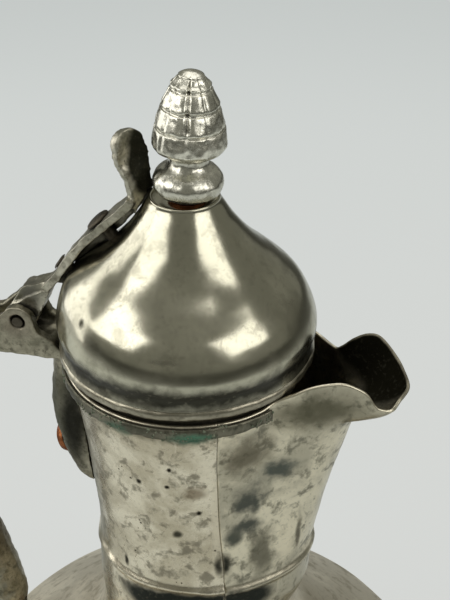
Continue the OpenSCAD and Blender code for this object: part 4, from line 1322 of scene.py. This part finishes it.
@dataclass
class Finial:
    """Cast finial: round foot, stalk and a cone of four tiers."""

    seat: Point = (-1.4, 0.0, 290.5)
    lean: float = 2.5
    foot: tuple[tuple[float, float], ...] = (
        (0, 0.15), (4.4, 0.15), (8.6, 0.7), (11.0, 2.2), (11.9, 4.6), (11.6, 7.0), (10.2, 9.0), (8.0, 10.6),
        (6.9, 12.0), (6.7, 13.4), (7.2, 14.8), (8.8, 16.0), (11.2, 17.0))
    tiers: tuple[tuple[float, float, float, float], ...] = (
        (12.5, 11.7, 18.2, 24.6), (11.4, 9.9, 25.1, 31.2), (9.5, 7.3, 31.8, 37.6), (6.8, 4.6, 38.2, 41.6))
    tip: tuple[tuple[float, float], ...] = ((4.2, 42.0), (3.0, 42.8), (1.5, 43.3), (0, 43.4))
    flutes: int = 9

    def cast(self, grid: np.ndarray) -> np.ndarray:
        """Flutes and roughens the turned shape, leans it and sets it on the dome.

        Args:
            grid: the turned points, about the origin.

        Returns:
            The points in place.
        """
        a = np.arctan2(grid[..., 1], grid[..., 0])
        z = grid[..., 2]
        cone = smooth((z - 17) / 2) * smooth((43 - z) / 3)
        groove = 0.9 * bump(np.angle(np.exp(1j * (a + 1.42))), 0.07) * smooth((z - 24) / 3)
        cut = 0.35 * np.maximum(0, np.cos(a * self.flutes + 0.7)) ** 6 + groove
        depth = -cut * cone + 0.30 * (grain(grid, 5.0, 2.7) - 0.4) + 0.12 * (grain(grid, 1.8, 5.5) - 0.4)
        depth *= smooth(np.hypot(grid[..., 0], grid[..., 1]) / 3)
        out = push_out(grid, depth)
        t = math.radians(self.lean)
        x, up = out[..., 0].copy(), out[..., 2].copy()
        out[..., 0] = self.seat[0] + x * math.cos(t) + up * math.sin(t)
        out[..., 1] += self.seat[1]
        out[..., 2] = self.seat[2] + up * math.cos(t) - x * math.sin(t)
        return out

    def build(self) -> bpy.types.Object:
        """Makes the finial, fluted and rough as cast.

        Returns:
            The finial.
        """
        outline = list(self.foot)
        for low, high, z0, z1 in self.tiers:
            outline += [(low - 0.25, z0), (low, z0 + 0.8), (lerp(low, high, 0.5) + 0.12, (z0 + z1) / 2),
                        (high, z1 - 0.3), (high - 0.45, z1 + 0.05)]
        profile = spline([*outline, *self.tip], 3)
        profile[:, 0] = np.maximum(profile[:, 0], 0)
        profile[0, 0] = profile[-1, 0] = 0.0
        return turned_object("finial_casting", profile, 144, shape=self.cast)


# -------------------------------------------------------------------- studio
@dataclass(frozen=True)
class SoftBox:
    """A lamp with a rectangular face; its sizes are metres, its power watts."""

    name: str
    place: Point
    target: Point
    size: tuple[float, float]
    power: float

    def build(self) -> None:
        """Hangs the lamp at its place, facing its target."""
        data = bpy.data.lights.new(self.name, "AREA")
        data.shape = "RECTANGLE"
        data.size, data.size_y = self.size
        data.energy = self.power
        light = new_object(self.name, data)
        light.location = self.place
        aim = Vector(self.target) - Vector(self.place)
        light.rotation_euler = aim.to_track_quat("-Z", "Y").to_euler()


@dataclass
class Studio:
    """Floor, lights, world and camera."""

    eye: Point = (89.8, -340.7, 473.6)
    look: Point = (-0.1897, 0.8218, -0.5373)
    lens: float = 72.0
    floor_size: float = 12.0
    floor_z: float = -0.0005
    floor_colour: Colour = tone(222, 226, 226)
    floor_far: Colour = tone(120, 120, 116)
    floor_seen: tuple[Colour, Colour] = (tone(216, 218, 215), tone(208, 213, 211))
    room_glow: Colour = tone(128, 129, 122)
    room_seen: Colour = tone(202, 207, 206)
    boxes: tuple[SoftBox, ...] = (
        SoftBox("left_box", (-0.82, -0.60, 0.88), (0, 0, 0.25), (0.95, 0.76), 4.9),
        SoftBox("right_box", (0.96, -0.36, 0.86), (0, 0, 0.25), (0.88, 0.72), 4.2),
        SoftBox("left_fill", (-1.1, 0.15, 0.35), (0, 0, 0.2), (0.8, 0.8), 3.4),
        SoftBox("ceiling", (0.0, 0.35, 1.9), (0, 0, 0.2), (1.8, 1.8), 13.0))

    def build_camera(self) -> None:
        """Places the camera."""
        data = bpy.data.cameras.new("view")
        data.lens = self.lens
        data.sensor_width = 36.0
        data.clip_start = 0.01
        camera = new_object("view", data)
        camera.location = Vector(self.eye) * MM
        camera.rotation_euler = Vector(self.look).to_track_quat("-Z", "Y").to_euler()
        bpy.context.scene.camera = camera

    def build_floor(self) -> None:
        """Lays the pale floor, seen by the camera at its own colour."""
        bpy.ops.mesh.primitive_plane_add(size=self.floor_size, location=(0, 0, self.floor_z))
        floor = bpy.context.object
        floor.name = "floor"
        material = bpy.data.materials.new("floor_paper")
        material.use_nodes = True
        material.node_tree.nodes.clear()
        g = Graph(material.node_tree)
        at = g.add("ShaderNodeTexCoord").outputs["Object"]
        split = g.add("ShaderNodeSeparateXYZ", {0: at})
        back = g.math("ADD", split.outputs[1], g.math("MULTIPLY", split.outputs[0], -0.25))
        glow = g.add("ShaderNodeEmission", {"Color": g.mix(g.band(back, 0.0, 1.25), *self.floor_seen)})
        reach = g.add("ShaderNodeVectorMath", {0: at}, operation="LENGTH").outputs["Value"]
        shade = g.mix(g.band(reach, 0.65, 1.2), self.floor_colour, self.floor_far)
        paper = g.add("ShaderNodeBsdfDiffuse", {"Color": shade})
        seen = g.math("MULTIPLY", g.add("ShaderNodeLightPath").outputs["Is Camera Ray"], 0.85)
        both = g.add("ShaderNodeMixShader", {0: seen, 1: paper.outputs[0], 2: glow.outputs[0]})
        g.finish("ShaderNodeOutputMaterial", both.outputs[0])
        floor.data.materials.append(material)

    def build_world(self) -> None:
        """Makes the room: pale to the camera, darker in reflections."""
        world = bpy.data.worlds.new("room")
        bpy.context.scene.world = world
        world.use_nodes = True
        world.node_tree.nodes.clear()
        g = Graph(world.node_tree)
        seen = g.add("ShaderNodeLightPath").outputs["Is Camera Ray"]
        back = g.add("ShaderNodeBackground", {"Color": g.mix(seen, self.room_glow, self.room_seen),
                                              "Strength": 1.0})
        g.finish("ShaderNodeOutputWorld", back.outputs[0])

    def build(self) -> None:
        """Sets the whole studio up."""
        self.build_camera()
        self.build_floor()
        self.build_world()
        for box in self.boxes:
            box.build()
        bpy.context.scene.view_settings.view_transform = "Standard"


def main() -> None:
    """Builds the whole scene, piece by piece."""
    logging.basicConfig(level=logging.INFO, format="%(name)s %(message)s")
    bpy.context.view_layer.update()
    Studio().build()
    dress(Belly().build(), Body.POT, Slot.SHEET, BELLY, "lower_body")
    rear, front, band = Neck().build()
    dress(rear, Body.POT, Slot.SHEET, NECK_REAR, "neck_panel")
    dress(front, Body.POT, Slot.SHEET, NECK_FRONT, "spout_panel")
    dress(band, Body.POT, Slot.SHEET, RIM, "rim_band")
    dress(Crust().build(band), Body.POT, Slot.SHEET, CRUST)
    lid = Lid()
    dress(lid.build_dome(), Body.LID, Slot.POLISHED, DOME, "lid_dome")
    dress(lid.build_plate(), Body.LID, Slot.SHEET, EDGE_RING, "lid_plate")
    dress(lid.build_sleeve(), Body.LID, Slot.SHEET, EDGE_RING, "lid_sleeve")
    dress(Finial().build(), Body.LID, Slot.LIGHT_CAST, FINIAL, "finial")
    bar = cast_object("lid_bar", "lid_strap", 0.45, 4, ((6, 0.5, 1.2), (2, 0.15, 4.1)))
    dress(bar, Body.LID, Slot.DARK_CAST, BAR, "lid_strap")
    handle = cast_object("handle_casting", "handle", 0.62, 3, ((8, 0.6, 3.2), (2.5, 0.2, 7.1)))
    dress(handle, Body.POT, Slot.DARK_CAST, CAST, "handle")
    for node, finish in PLAIN.items():
        node_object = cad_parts[node]
        node_object.data.materials.clear()
        node_object.data.materials.append(finish.build())


if __name__ == "__main__":
    main()
